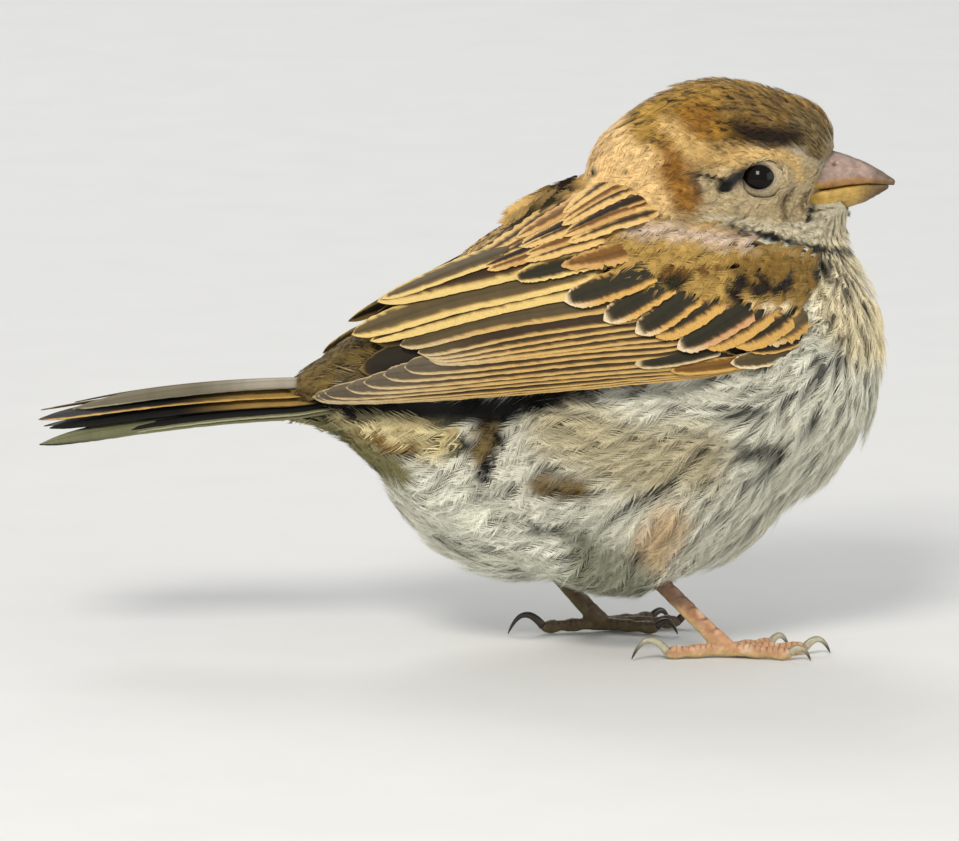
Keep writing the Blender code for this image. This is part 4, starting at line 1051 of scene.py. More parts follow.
def vane_colours(feather, along, across, widths, length, rng):
    """A dark vane with a paler fringe along its exposed edge and round its tip, and painted shade across it.
    """
    to_tip = (1.0 - along) * length
    wobble = rng.normal(0.0, FRINGE_WANDER, (len(widths), 1)) * feather.fringe_width
    to_side = (1.0 - np.abs(across)) * widths[:, None] + wobble
    exposed = feather.fringe_width * np.where(across < 0, 1.0, feather.inner_fringe)
    side_cover = 1.0 - smoothstep(exposed * 0.75, exposed * 1.25 + 0.05, to_side)
    tip_cover = 1.0 - smoothstep(feather.tip_fringe * 0.6, feather.tip_fringe * 1.4, to_tip + wobble)
    cover = np.maximum(side_cover, tip_cover)[..., None]
    tip_colour = feather.fringe if feather.tip_colour is None else feather.tip_colour
    fringe = blend(feather.fringe, tip_colour, smoothstep(0.6, 1.0, along))
    shade = 1.0 + rng.normal(0.0, VANE_TINT) + rng.normal(0.0, ROW_TINT, (len(widths), 1))
    # painted shade: the dark ground darker towards the exposed side, for the dark lines between overlapping
    # feathers
    depth = 0.8 + 0.35 * smoothstep(-0.9, 0.6, across)
    dark = vane_ground(feather, along) * (shade * depth)[..., None]
    warm_side = 1.0 - smoothstep(exposed * 0.8, exposed * 1.6 + 0.15, to_side)
    warm_tip = 1.0 - smoothstep(0.0, feather.tip_fringe * 1.8, to_tip)
    dark = blend(dark, fringe * WARM_TINT, np.maximum(warm_side, warm_tip) * WARM_COVER)
    shaft = SHAFT_SHADE * np.exp(-(((across - SHAFT_ACROSS) / SHAFT_HALF) ** 2))[..., None]
    return (dark * (1.0 - cover) + fringe * cover) * (1.0 - shaft * (1.0 - 0.5 * cover))


def add_vane(coat, feather, surface, length, patch, rng):
    """Adds one vane. surface turns shares along, offsets across in millimetres and heights into points."""
    along, across, widths = vane_sheet(feather, length, rng)
    offset = across * widths[:, None]
    fullness = (widths / feather.half_width)[:, None]
    height = (feather.arch * (1.0 - across**2) - feather.tilt * across) * fullness
    ridge = SHAFT_RIDGE * np.exp(-(((across - SHAFT_ACROSS) / SHAFT_RIDGE_HALF) ** 2))
    ridge = ridge * smoothstep(1.0, 0.8, along)
    upper = surface(along.ravel(), offset.ravel(), (height + ridge).ravel())
    under = surface(along.ravel(), offset.ravel(), (height - feather.thickness).ravel())
    inner = np.zeros_like(along, bool)
    inner[1:-1, 1:-1] = True
    inner = inner.ravel()
    colours = vane_colours(feather, np.clip(along, 0, 1), across, widths, length, rng).reshape(-1, 3)
    barb = (along * length - np.abs(offset) * 0.9).ravel()
    place = np.stack((across.ravel() * 0.5 + 0.5, along.ravel()), 1) * patch[2:] + patch[:2]
    both = ((upper, under), (colours, colours * UNDERSIDE), (barb, barb), (place, place))
    points, colours, barb, place = (np.concatenate((top, low[inner]))[None] for top, low in both)
    coat.add(points, vane_faces(*along.shape), colours, barb, place)


def wing_surface(path, side, outward, tuck):
    """A vane's surface on the cowl, along a path of (x, level) points from its root to its tip.

    Its root dips by the first of tuck, over the length given by the second.
    """

    def at(along, offset, height):
        """Points of the vane."""
        flat = through(path, along)
        ahead = unit(through(path, np.clip(along + 0.02, 0, 1)) - through(path, np.clip(along - 0.02, 0, 1)))
        up = np.stack((ahead[:, 1], -ahead[:, 0]), 1)
        tucked = tuck[0] * smoothstep(tuck[1], 0.0, along * path_length(path))
        return on_cowl(flat + up * offset[:, None], outward + height - tucked, side)

    return at


def path_length(path):
    """The length of a line through points."""
    return float(np.linalg.norm(np.diff(np.array(path, float), axis=0), axis=1).sum())


def fanned(first, last, number, count, bend):
    """One of a fan of paths. Roots are evenly spaced; tips crowd towards the last when bend is over 1."""
    share = number / (count - 1)
    crowded = 1.0 - (1.0 - share) ** bend
    mix = np.linspace(share, crowded, len(first))[:, None]
    return np.array(first) * (1.0 - mix) + np.array(last) * mix


REMEX = Feather(1.7, REMEX_DARK, REMEX_EDGE, 0.4, 0.45, PRIMARY_EDGE, 14.0, rows=60, fray=0.02,
                tip_dark=PRIMARY_GREY)
PRIMARY = replace(REMEX, dark=PRIMARY_DARK, fringe_width=0.22, tip_fringe=0.4, tilt=0.18)
INNER_PRIMARY = replace(REMEX, half_width=1.75, fringe_width=0.34, tilt=0.2)
SECONDARY = replace(REMEX, half_width=1.6, bluntness=10.0, rows=56, tip_dark=TERTIAL_GREY)
GREY_SECONDARY = replace(SECONDARY, half_width=1.75, dark=TERTIAL_GREY, fringe_width=0.55, tip_fringe=0.4)
MANTLE_CREAM = Feather(1.2, MANTLE_DARK, MANTLE, 0.75, 0.7, MANTLE, 2.6, rows=36, tilt=0.2, fray=0.1,
                       inner_fringe=0.8)
MANTLE_BLACK = Feather(1.0, SPOT, MANTLE_ORANGE, 0.36, 0.5, MANTLE, 3.0, rows=36, tilt=0.2, fray=0.1,
                       inner_fringe=0.8)
MANTLE_TAN = Feather(1.1, LESSER_DARK, MANTLE_ORANGE, 0.6, 0.8, MANTLE, 3.0, rows=36, tilt=0.2, fray=0.07,
                     inner_fringe=0.6)
MANTLE_LOOKS = (MANTLE_CREAM, MANTLE_TAN, MANTLE_CREAM, MANTLE_BLACK, MANTLE_TAN, MANTLE_CREAM)
GREATER = Feather(2.15, COVERT_DARK, COVERT_EDGE, 0.7, 1.3, PALE_EDGE, rows=40, fray=0.045)
GOLD_GREATER = Feather(1.9, COVERT_DARK, COVERT_EDGE, 1.2, 1.6, rows=40, fray=0.045, inner_fringe=0.6)
PINK_GREATER = Feather(2.15, COVERT_DARK, ORANGE_EDGE, 0.75, 1.2, PALE_EDGE, rows=40, fray=0.045)
NECK_SIDE = Feather(3.2, NAPE_DARK, LAVENDER, 0.8, 1.2, rows=24, bluntness=8.0, tilt=0.0, fray=0.1)
TERTIAL = Feather(1.5, TERTIAL_GREY, TERTIAL_EDGE, 0.55, 1.0, rows=50, bluntness=5.0, fray=0.02)

# Single wing feathers: group, looks, how far outward, and the path from root to tip by x and level.
WING_FEATHERS = (
    ("tertials", TERTIAL, 0.50, ((15, 62.2), (8, 60.0), (0, 57.3), (-12.6, 52.2))),
    ("tertials", Feather(2.0, TERTIAL_DARK, TERTIAL_EDGE, 1.0, 1.0, rows=50, fray=0.02), 0.36,
     ((18, 59.4), (10, 57.6), (0, 55.2), (-13.2, 51.8))),
    ("tertials", Feather(2.1, TERTIAL_GREY, TERTIAL_EDGE, 0.8, 0.5, rows=50, bluntness=8.0, fray=0.02), 0.20,
     ((20, 57.0), (10, 54.5), (-3, 51.6), (-17.0, 46.9))),
    ("tertials", Feather(1.5, TERTIAL_DARK, TERTIAL_EDGE, 1.1, 0.8, rows=50, fray=0.02), 0.05,
     ((20, 54.3), (8, 52.0), (-2, 49.5), (-14.2, 45.9))),
    ("secondaries", GREY_SECONDARY, -0.08, ((24, 52.2), (12, 50.4), (2, 48.6), (-9.9, 45.2))),
    ("secondaries", Feather(1.2, COVERT_DARK, PRIMARY_EDGE, 0.3, 1.3, rows=30), -0.30,
     ((38, 45.0), (34, 43.8), (29, 42.8), (24.6, 42.2))),
    ("secondaries", Feather(1.1, LESSER_DARK, COVERT_EDGE, 0.4, 0.8, rows=30), -0.38,
     ((44, 43.6), (40, 42.5), (35, 41.7), (30.0, 41.2))),
    ("secondaries", Feather(1.4, TERTIAL_GREY, PALE_EDGE, 0.35, 0.7, rows=30), 0.05,
     ((50, 45.4), (46.5, 44.0), (43, 43.1), (38.8, 42.5))),
    ("secondaries", Feather(1.2, SPOT, COVERT_EDGE, 0.3, 0.5, rows=30), 0.12,
     ((51, 47.2), (48, 45.8), (45, 45.0), (41.5, 44.5))),
    ("coverts", GREATER, 0.60, ((29, 57.3), (24, 55.0), (19, 53.2), (14.3, 51.7))),
    ("coverts", GREATER, 0.55, ((31.5, 55.8), (27.5, 53.2), (24, 51.0), (20.3, 48.8))),
    ("coverts", GREATER, 0.50, ((35, 54.2), (31.5, 51.6), (28.3, 49.2), (24.8, 47.0))),
    ("coverts", GOLD_GREATER, 0.45, ((38.5, 53.0), (35, 50.4), (31.5, 48.2), (27.8, 46.2))),
    ("coverts", PINK_GREATER, 0.44, ((43, 52.2), (39, 49.3), (35, 46.9), (30.8, 44.7))),
    ("coverts", GOLD_GREATER, 0.38, ((46, 51.5), (42.5, 48.6), (39, 46.4), (35.2, 44.6))),
    ("coverts", GOLD_GREATER, 0.34, ((49, 51.0), (46, 48.5), (43, 46.6), (39.2, 45.0))),
    ("coverts", Feather(1.7, TERTIAL_GREY, COVERT_EDGE, 0.8, 1.2, PALE_EDGE, rows=30, fray=0.1), 0.30,
     ((51.5, 50.5), (49.2, 48.4), (46.8, 46.8), (43.2, 45.6))),
    ("scapulars", Feather(1.7, COVERT_DARK, TERTIAL_EDGE, 0.45, 0.9, rows=40, fray=0.06, inner_fringe=1.0),
     0.75, ((22, 58.8), (17, 57.9), (12, 56.7), (6.8, 55.3))),
    ("scapulars", Feather(1.7, LESSER_DARK, MANTLE_ORANGE, 0.8, 1.4, None, 2.4, rows=34, fray=0.14), 1.1,
     ((26, 60.0), (22, 58.8), (18, 57.8), (14.0, 57.0))),
    ("scapulars", NECK_SIDE, -2.2, ((41.5, 62.4), (35, 63.8), (28, 64.6), (21, 64.4))),
)
# Fans of wing feathers: group, looks, count, how far outward the first and last lie, how the tips crowd, and
# the paths of the first and the last.
WING_FANS = (
    ("scapulars", MANTLE_LOOKS, 5, (0.3, 0.8), 1.0,
     ((13, 65.8), (7.5, 61.8), (1.0, 57.8)), ((15, 60.8), (9, 58.8), (3.0, 56.6))),
    ("scapulars", MANTLE_LOOKS[::-1], 6, (0.5, 1.0), 1.0,
     ((20, 69.8), (14, 65.8), (7.6, 61.6)), ((22, 62.4), (15.5, 60.2), (8.4, 57.9))),
    ("scapulars", MANTLE_LOOKS, 6, (0.85, 1.3), 1.0,
     ((26, 73.0), (20.5, 70.0), (14.2, 65.2)), ((28, 64.8), (21.5, 62.8), (14.6, 60.0))),
    ("secondaries", SECONDARY, 5, (-0.14, -0.34), 2.2,
     ((28, 50.5), (16, 49.0), (5, 47.2), (-7.2, 44.1)), ((34, 46.8), (22, 46.0), (8, 44.6), (-5.4, 43.0))),
    ("primaries", INNER_PRIMARY, 4, (-0.42, -0.72), 1.1,
     ((34, 46.0), (18, 44.9), (5, 43.4), (-9.2, 41.9)), ((38, 43.6), (22, 42.4), (4, 40.8), (-17.8, 38.7))),
    ("primaries", PRIMARY, 4, (-0.80, -1.15), 2.0,
     ((40, 43.2), (22, 41.9), (2, 40.2), (-21.0, 38.0)), ((42, 42.6), (24, 40.8), (2, 38.9), (-22.9, 37.4))),
)
# How far the root of a wing feather dips under the feathers before it, and over what length.
ROOT_TUCK, SCAPULAR_TUCK = (1.4, 3.2), (2.4, 4.5)
# Broad dark feathers under the rest, which close the wing; their dark colour is painted shade that shows
# between the feathers over them.
SHADE_UNDER_WING = Feather(4.4, RUMP_DARK, RUMP, 0.8, 1.2, rows=24, bluntness=8.0, tilt=0.0)
UNDER_OUTWARD = -1.5
UNDER_PATHS = (
    ((46, 57.0), (28, 58.0), (12, 57.0), (-4, 52.0)),
    ((48, 50.5), (30, 52.0), (10, 51.0), (-15, 46.4)),
    ((46, 46.4), (28, 46.4), (8, 45.0), (-16, 41.6)),
)
# How far the feathers of each group stray.
WANDER = {"coverts": 0.1, "scapulars": 0.35, "secondaries": 0.07, "tertials": 0.05, "primaries": 0.04}
FAR_WING_SHIFT = np.array((-4.5, -5.2))  # how much further back the far wing's long inner feathers lie


def wing_layout():
    """Every wing feather as its group, looks, outward place and path."""
    rows = list(WING_FEATHERS)
    for group, looks, count, (first_out, last_out), bend, first, last in WING_FANS:
        for number in range(count):
            share = number / (count - 1)
            path = fanned(first, last, number, count, bend)
            feather = looks[number] if isinstance(looks, tuple) else looks
            rows.append((group, feather, first_out + (last_out - first_out) * share, path))
    return rows + [("secondaries", SHADE_UNDER_WING, UNDER_OUTWARD, path) for path in UNDER_PATHS]


def wing_feathers(side_name, material, rng):
    """The flight feathers and larger coverts of one wing, one object for each CAD group."""
    rows = wing_layout()
    for group in WING_GROUPS:
        mine = [row[1:] for row in rows if row[0] == group]
        tuck = SCAPULAR_TUCK if group == "scapulars" else ROOT_TUCK
        coat = Coat()
        for number, (feather, outward, path) in enumerate(mine):
            path = np.array(path, float) + rng.normal(0.0, WANDER[group], 2)
            if group == "tertials" and side_name == "left":
                path = path + FAR_WING_SHIFT * np.linspace(0.3, 1.0, len(path))[:, None]
            surface = wing_surface(path, SIDES[side_name], outward, tuck)
            add_vane(coat, feather, surface, path_length(path), patch_of(number, len(mine)), rng)
        name = f"feathers_{side_name}_{group}"
        made = coat.build(name, material, "wing_feathers", (f"wing_{side_name}_{group}",))
        made.data.set_sharp_from_angle(angle=VANE_CREASE)


def patch_of(number, count):
    """The corner and size of one feather's own patch when count of them share the map evenly."""
    across = math.ceil(math.sqrt(count * 2.0))
    down = math.ceil(count / across)
    row, column = divmod(number, across)
    cell = np.array((1.0 / across, 1.0 / down))
    return np.concatenate((cell * (column, row) + cell * PATCH_EDGE, cell * (1.0 - 2.0 * PATCH_EDGE)))


# --- tail -------------------------------------------------------------------------------------------------

TAIL_ROOT = (-19.5, 40.1)  # x and height
TAIL_TIP_X = (-58.6, -63.7, -62.0, -59.6, -60.4, -63.4)  # from the middle feather to the outermost
TAIL_ROOT_SIDE, TAIL_TIP_SIDE = (1.1, 1.7, 2.3, 2.9, 3.5, 4.0), (2.9, 4.1, 5.2, 6.2, 7.1, 7.9)
TAIL_ROOT_DROP = (0.0, 1.2, 2.3, 2.9, 3.2, 3.6)  # how far below the first feather's root each root lies
TAIL_SPLAY_DROP = (0.0, 0.2, 0.2, 0.7, 0.8, 0.9)  # how much further each tip lies below the first's
TAIL_SAG, TAIL_SAG_POWER = 3.9, 2.2
TAIL_TILT, TAIL_TILT_STEP = 0.22, 0.04  # how the vanes slope down outward, and how much steeper the next is
TAIL_PARTING = 0.15  # how near the middle plane a vane may come
TAIL_BLACK = Feather(2.7, TAIL_DARK, TAIL_DARK, 0.12, 0.15, TAIL_DARK, rows=56, tilt=0.05, fray=0.015)
TAIL_BROWN = replace(TAIL_BLACK, root_dark=TAIL_GOLD)
TAIL_INNER = replace(TAIL_BROWN, fringe=TAIL_BUFF, fringe_width=0.4, tip_fringe=0.2, tip_colour=TAIL_BUFF,
                     bluntness=7.0)
TAIL_MIDDLE = Feather(2.7, TAIL_GREY, TAIL_GREY, 0.3, 0.3, TAIL_PALE, 5.0, rows=56, tilt=0.05, fray=0.015,
                      root_dark=TAIL_SILVER)
TAIL_OUTER = Feather(2.7, TAIL_GREEN, TAIL_PALE, 0.25, 0.25, TAIL_DARK, 5.0, rows=56, tilt=0.05, fray=0.015)
TAIL_LOWEST = replace(TAIL_OUTER, half_width=2.6, fringe=TAIL_GREEN, fringe_width=0.3, tip_fringe=0.3)
TAIL_LOOKS = (TAIL_MIDDLE, TAIL_INNER, TAIL_BROWN, TAIL_BLACK, TAIL_OUTER, TAIL_LOWEST)


def tail_surface(order, side):
    """A tail feather's surface, sloping down outward."""
    slope = TAIL_TILT + TAIL_TILT_STEP * order

    def at(along, offset, height):
        """Points of the vane."""
        x = TAIL_ROOT[0] + (TAIL_TIP_X[order] - TAIL_ROOT[0]) * along
        middle = TAIL_ROOT_SIDE[order] + (TAIL_TIP_SIDE[order] - TAIL_ROOT_SIDE[order]) * along
        drop = TAIL_ROOT_DROP[order] + TAIL_SPLAY_DROP[order] * along
        drop = drop + TAIL_SAG * np.clip(along, 0, 1) ** TAIL_SAG_POWER
        away = np.maximum(middle - offset, TAIL_PARTING)
        z = TAIL_ROOT[1] - drop - (away - middle) * slope + height
        return np.stack((x, side * away, z), 1)

    return at


def tail_feathers(side_name, material, rng):
    """The six tail feathers of one side."""
    coat = Coat()
    for order, feather in enumerate(TAIL_LOOKS):
        surface = tail_surface(order, SIDES[side_name])
        length = TAIL_ROOT[0] - TAIL_TIP_X[order]
        add_vane(coat, feather, surface, length, patch_of(order, len(TAIL_LOOKS)), rng)
    made = coat.build(f"feathers_tail_{side_name}", material, "tail_feathers", (f"tail_{side_name}",))
    made.data.set_sharp_from_angle(angle=VANE_CREASE)


# --- eyes -------------------------------------------------------------------------------------------------

CORNEA, CORNEA_POWER = 0.05, 8  # how far it bulges, as a share of the ball's radius, and how narrowly
LID_OPENING = (2.12, 1.74)  # half width and half height of the opening between the lids
LID_PALE, LID_DARK = srgb(150, 136, 112), srgb(30, 25, 20)
# The lids from their inner edge outward and back: how far out from the opening, and how far above the ball.
LID_PROFILE = (
    (0.0, 0.05), (0.06, 0.15), (0.16, 0.22), (0.28, 0.19), (0.38, 0.14), (0.6, 0.16), (0.9, 0.16),
    (1.3, 0.14), (1.7, 0.12), (2.1, 0.1), (2.3, -0.5), (1.2, -1.2), (0.3, -0.9), (0.0, -0.25),
)
LID_FLOOR = 0.6  # the square of the least height of the lids above the ball's middle
LID_STEPS, LID_BEADS, LID_BEAD, LID_UNEVEN = 120, 30, 0.06, 0.12  # round the eye; beads and how they differ
LID_CORNERS, LID_CORNER_POWER = (0.30, 0.16), 12  # how much wider it opens at its back and front corners


def eyeball(side_name, material):
    """A smooth ball with a slight cornea, looking outwards."""
    side = SIDES[side_name]
    form = bmesh.new()
    bmesh.ops.create_uvsphere(form, u_segments=48, v_segments=32, radius=1.0)
    for vertex in form.verts:
        x, y, z = vertex.co
        bulge = 1.0 + CORNEA * max(z, 0.0) ** CORNEA_POWER
        from_middle = Vector((x, z * side, y)) * EYE_RADIUS * bulge
        vertex.co = (Vector(EYE_PLACE * (1, side, 1)) + from_middle) * MM
    bmesh.ops.recalc_face_normals(form, faces=form.faces)
    mesh = bpy.data.meshes.new(f"eyeball_{side_name}")
    form.to_mesh(mesh)
    form.free()
    mesh.shade_smooth()
    register(placed(mesh.name, mesh), material, (f"eye_{side_name}",))


def lid_ring(side, rng):
    """The rolled lids round one eye: points and triangles of a ring that rests on the eyeball."""
    uneven = 1.0 + LID_UNEVEN * rng.normal(size=LID_STEPS)
    points = []
    for i in range(LID_STEPS):
        turn = 2 * math.pi * i / LID_STEPS
        corner = LID_CORNERS[0] * max(-math.cos(turn), 0.0) ** LID_CORNER_POWER
        corner += LID_CORNERS[1] * max(math.cos(turn), 0.0) ** LID_CORNER_POWER
        for out, lift in LID_PROFILE:
            beads = LID_BEAD * math.sin(turn * LID_BEADS) * uneven[i] * (0.1 < out < 0.45) * (lift > 0)
            x = (LID_OPENING[0] + corner + out) * math.cos(turn) + LID_SHIFT[0]
            z = (LID_OPENING[1] + out) * math.sin(turn) + LID_SHIFT[2]
            rest = math.sqrt(max(EYE_RADIUS**2 - x * x - z * z, LID_FLOOR))
            points.append((EYE_PLACE[0] + x, side * (EYE_PLACE[1] + rest + lift + beads), EYE_PLACE[2] + z))
    a = np.arange(len(points)).reshape(LID_STEPS, -1)
    b = np.roll(a, -1, axis=0)
    ring = (a, b, np.roll(b, -1, axis=1), np.roll(a, -1, axis=1))
    return np.array(points), halved(*ring[:: -side])


def lid_colours(ring, side):
    """Pale lids, dark along their inner edge and in front, darkened above as painted shade, that turn into
    the face's feathers.
    """
    place = (ring - EYE_PLACE * (1, side, 1) - LID_SHIFT)[:, (0, 2)] / LID_OPENING
    inner = np.linalg.norm(place, axis=1)
    colours = blend(LID_PALE, LID_DARK, smoothstep(1.12, 1.02, inner))
    # painted shade along the top, where the brow's feathers overhang the lids
    colours = colours * (1.0 - 0.6 * smoothstep(0.5, 1.0, place[:, 1]))[:, None]
    colours = colours * (1.0 - 0.55 * smoothstep(0.7, 1.0, -place[:, 0]))[:, None]
    return blend(colours, markings(ring, BODY_MARKS)[0] * 0.8, smoothstep(1.17, 1.26, inner))


# --- materials --------------------------------------------------------------------------------------------


class Shading:
    """A Principled material as it is put together. sockets gives the shader's constants by name."""

    def __init__(self, name, roughness, **sockets):
        self.material = bpy.data.materials.new(name)
        self.material.use_nodes = True
        self.material.node_tree.nodes.clear()
        self.shader = self.node("BsdfPrincipled", Roughness=roughness, **sockets)
        self.node("OutputMaterial", Surface=self.shader.outputs["BSDF"])

    def feed(self, socket, value):
        """Links a socket to another node's socket, or sets its constant."""
        if isinstance(value, bpy.types.NodeSocket):
            self.material.node_tree.links.new(value, socket)
        else:
            socket.default_value = value

    def node(self, kind, *values, operation=None, **sockets):
        """A new node, with what its first sockets and its named ones get."""
        made = self.material.node_tree.nodes.new("ShaderNode" + kind)
        if operation:
            made.operation = operation
        for socket, value in zip(made.inputs, values):
            self.feed(socket, value)
        for name, value in sockets.items():
            self.feed(made.inputs[name.replace("_", " ")], value)
        return made

    def stored(self, name, output):
        """What the mesh stores under a name."""
        made = self.node("Attribute")
        made.attribute_name = name
        return made.outputs[output]

    def noise(self, scale, detail, stretch=None):
        """Noise in the object's own space; scale is in cycles for each metre."""
        place = self.node("TexCoord").outputs["Object"]
        if stretch is not None:
            place = self.node("Mapping", Vector=place, Scale=stretch).outputs["Vector"]
        return self.node("TexNoise", Vector=place, Scale=scale, Detail=detail).outputs["Fac"]

    def ramp(self, source, low, high, start=0.3, end=0.7):
        """A value remapped from between start and end to between low and high."""
        made = self.node("MapRange", Value=source, From_Min=start, From_Max=end, To_Min=low, To_Max=high)
        return made.outputs["Result"]

    def colour(self, value):
        """Gives the surface its colour."""
        self.feed(self.shader.inputs["Base Color"], value)

    def colour_stored(self, factor):
        """Gives the surface the colours its mesh stores, scaled by a factor."""
        scaled = self.node("VectorMath", self.stored(PAINT, "Color"), operation="SCALE", Scale=factor)
        self.colour(scaled.outputs["Vector"])

    def colour_between(self, factor, first, second):
        """Gives the surface colours mixed from two by a factor."""
        made = self.node("Mix", factor)
        made.data_type = "RGBA"
        for socket, colour in zip((s for s in made.inputs if s.type == "RGBA"), (first, second)):
            socket.default_value = (*colour, 1.0)
        self.colour(next(s for s in made.outputs if s.type == "RGBA"))

    def roughen(self, source, low, high):
        """Varies the roughness with a value."""
        self.feed(self.shader.inputs["Roughness"], self.ramp(source, low, high))

    def relief(self, height, strength, depth):
        """A fine relief, depth millimetres deep."""
        made = self.node("Bump", Strength=strength, Distance=depth * MM, Height=height)
        self.feed(self.shader.inputs["Normal"], made.outputs["Normal"])


def plumage_material(name, barbs_each_mm, groove, roughness, sheen):
    """Feather vanes: the stored markings, broken up finely, darkened in the barbs' grooves as painted shade,
    with a relief of the grooves.
    """
    made = Shading(name, roughness, Sheen_Weight=sheen, Sheen_Roughness=0.5, Specular_IOR_Level=0.25)
    turns = barbs_each_mm * 2 * math.pi
    phase = made.node("Math", made.stored(BARB, "Fac"), turns, operation="MULTIPLY").outputs[0]
    wave = made.node("Math", phase, operation="SINE").outputs[0]
    fine = made.noise(5200.0, 2.0)
    # painted shade: the colour darker in the grooves between barbs, by the groove's share
    lines = made.ramp(wave, 1.0 - groove, 1.0 + groove * 0.4, -1.0, 1.0)
    shade = made.node("Math", made.ramp(fine, 0.80, 1.18), lines, operation="MULTIPLY").outputs[0]
    made.colour_stored(shade)
    made.roughen(fine, roughness - 0.1, roughness + 0.15)
    made.relief(wave, 0.35, 0.04)
    return made.material


def skin_material():
    """Bare skin and down: the stored colour with soft mottling."""
    made = Shading("skin_down", 0.85, Sheen_Weight=0.2)
    fine = made.noise(2500.0, 4.0)
    made.colour_stored(made.ramp(fine, 0.7, 1.25))
    made.relief(fine, 0.5, 0.08)
    return made.material


def eye_material():
    """A black pupil in a very dark brown iris, under a wet surface."""
    made = Shading("eye_wet", 0.05, Specular_IOR_Level=0.15)
    fine = made.noise(900.0, 3.0)
    made.colour_between(fine, (0.002, 0.0015, 0.001), (0.006, 0.004, 0.002))
    made.roughen(fine, 0.04, 0.07)
    return made.material


def stored_material(name, roughness, low, high, scale, depth, stretch=None):
    """A surface with stored colours, mottled at scale, and a fine relief of depth millimetres."""
    made = Shading(name, roughness)
    fine = made.noise(scale, 5.0, stretch)
    made.colour_stored(made.ramp(fine, low, high))
    made.roughen(fine, roughness + 0.12, roughness - 0.08)
    made.relief(fine, 0.5, depth)
    return made.material


def floor_material():
    """Pale paper."""
    made = Shading("floor_paper", 0.9)
    made.colour_between(made.noise(60.0, 3.0), (0.60, 0.60, 0.59), (0.64, 0.64, 0.63))
    return made.material


# --- bill -------------------------------------------------------------------------------------------------

BILL_TOP, BILL_RIDGE, BILL_TIP = srgb(148, 126, 114), srgb(100, 84, 70), srgb(66, 46, 24)
TOMIUM, LOWER_BILL, GAPE = srgb(150, 104, 34), srgb(172, 140, 70), srgb(196, 160, 76)
NOSTRIL, NOSTRIL_SHAPE = np.array((54.6, 2.6, 73.0)), (1.0, 0.5, 1.4)  # the greater, the narrower that way
NOSTRIL_DEPTH, NOSTRIL_REACH = 0.35, 0.42
NOSTRIL_PAINTED_SHADE, HOLE_REACH = 0.85, 0.32  # painted shade in the nostril's hole: how dark it is, and how far it reaches
BILL_VOXEL, BILL_ROUNDS = 0.15, 6
BILL_SWELL, GRAIN, RIDGES = 0.05, 0.035, 0.014  # how far the horn stands out, and its grain and growth lines
BILL_CLOSING = 0.21  # how far each half reaches towards the other
UPPER_EDGE = ((50.5, 54.0, 58.0, 63.5), (69.6, 70.6, 70.9, 70.1))  # x, and the height of the cutting edge
KEEL = ((52.0, 56.0, 59.5, 62.5), (65.0, 65.6, 66.8, 69.0))  # x, and the height of the lower half's keel


def finish_form(name, points, faces, colours, material, nodes):
    """An object with its own colours, that stands for its nodes."""
    made = mesh_object(name, points, faces)
    paint_points(made.data, colours)
    register(made, material, nodes)


def bill(material):
    """Both halves of the bill: smooth horn with a nostril, a pale cutting edge and a yellow gape."""
    halves = (("upper_bill", -1.0, upper_bill_colours), ("lower_bill", 1.0, lower_bill_colours))
    for node, towards, paint in halves:
        points, faces, normals = fused(f"{node}_form", [grown(node, 0.0)], BILL_VOXEL, BILL_ROUNDS)
        x, z = points[:, 0], points[:, 2]
        from_nostril = np.linalg.norm((np.abs(points) - NOSTRIL) * NOSTRIL_SHAPE, axis=1)
        holed = node == "upper_bill"
        dent = NOSTRIL_DEPTH * np.exp(-((from_nostril / NOSTRIL_REACH) ** 2)) * holed
        grain = GRAIN * noise_values(points * (0.35, 1.0, 1.0), 0.45) * smoothstep(51.0, 54.0, x)
        ridges = RIDGES * np.sin(x * 5.5 + z * 3.0)
        points = points + normals * (BILL_SWELL + grain + ridges - dent)[:, None]
        closing = BILL_CLOSING * smoothstep(0.3, 0.8, normals[:, 2] * towards) * smoothstep(50.0, 51.5, x)
        points[:, 2] += closing * towards
        blotch = 1.0 + 0.32 * noise_values(points, 1.1) + 0.2 * noise_values(points, 0.35)
        # painted shade darkening the nostril's hole
        hole = NOSTRIL_PAINTED_SHADE * np.exp(-((from_nostril / HOLE_REACH) ** 2)) * holed
        colours = paint(points) * (1.0 - hole)[:, None] * blotch[:, None]
        finish_form(f"horn_{node}", points, faces, colours, material, (node,))


def upper_bill_colours(points):
    """Brownish horn, darker along the ridge and at the tip, ochre along the cutting edge."""
    x, z, away = points[:, 0], points[:, 2], np.abs(points[:, 1])
    ridge = smoothstep(1.4, 0.3, away) * smoothstep(71.0, 72.0, z)
    edge = smoothstep(0.5, -0.3, z - np.interp(x, *UPPER_EDGE))
    gape = smoothstep(53.5, 51.0, x) * smoothstep(71.5, 69.8, z)
    colours = blend(BILL_TOP, BILL_RIDGE, ridge * 0.8)
    colours = blend(colours, TOMIUM, edge * 0.8)
    colours = blend(colours, BILL_TIP, smoothstep(58.5, 63.2, x) * 0.7)
    return blend(colours, GAPE, gape * 0.8)


def lower_bill_colours(points):
    """Ochre, darker and browner along the keel and at the tip."""
    x, z = points[:, 0], points[:, 2]
    keel = smoothstep(1.1, 0.0, z - np.interp(x, *KEEL))
    colours = blend(LOWER_BILL, BILL_TIP, keel * 0.55)
    colours = blend(colours, BILL_TIP, smoothstep(56.5, 61.5, x) * 0.85)
    return blend(colours, GAPE, smoothstep(54.0, 51.0, x) * 0.7)


# --- legs -------------------------------------------------------------------------------------------------

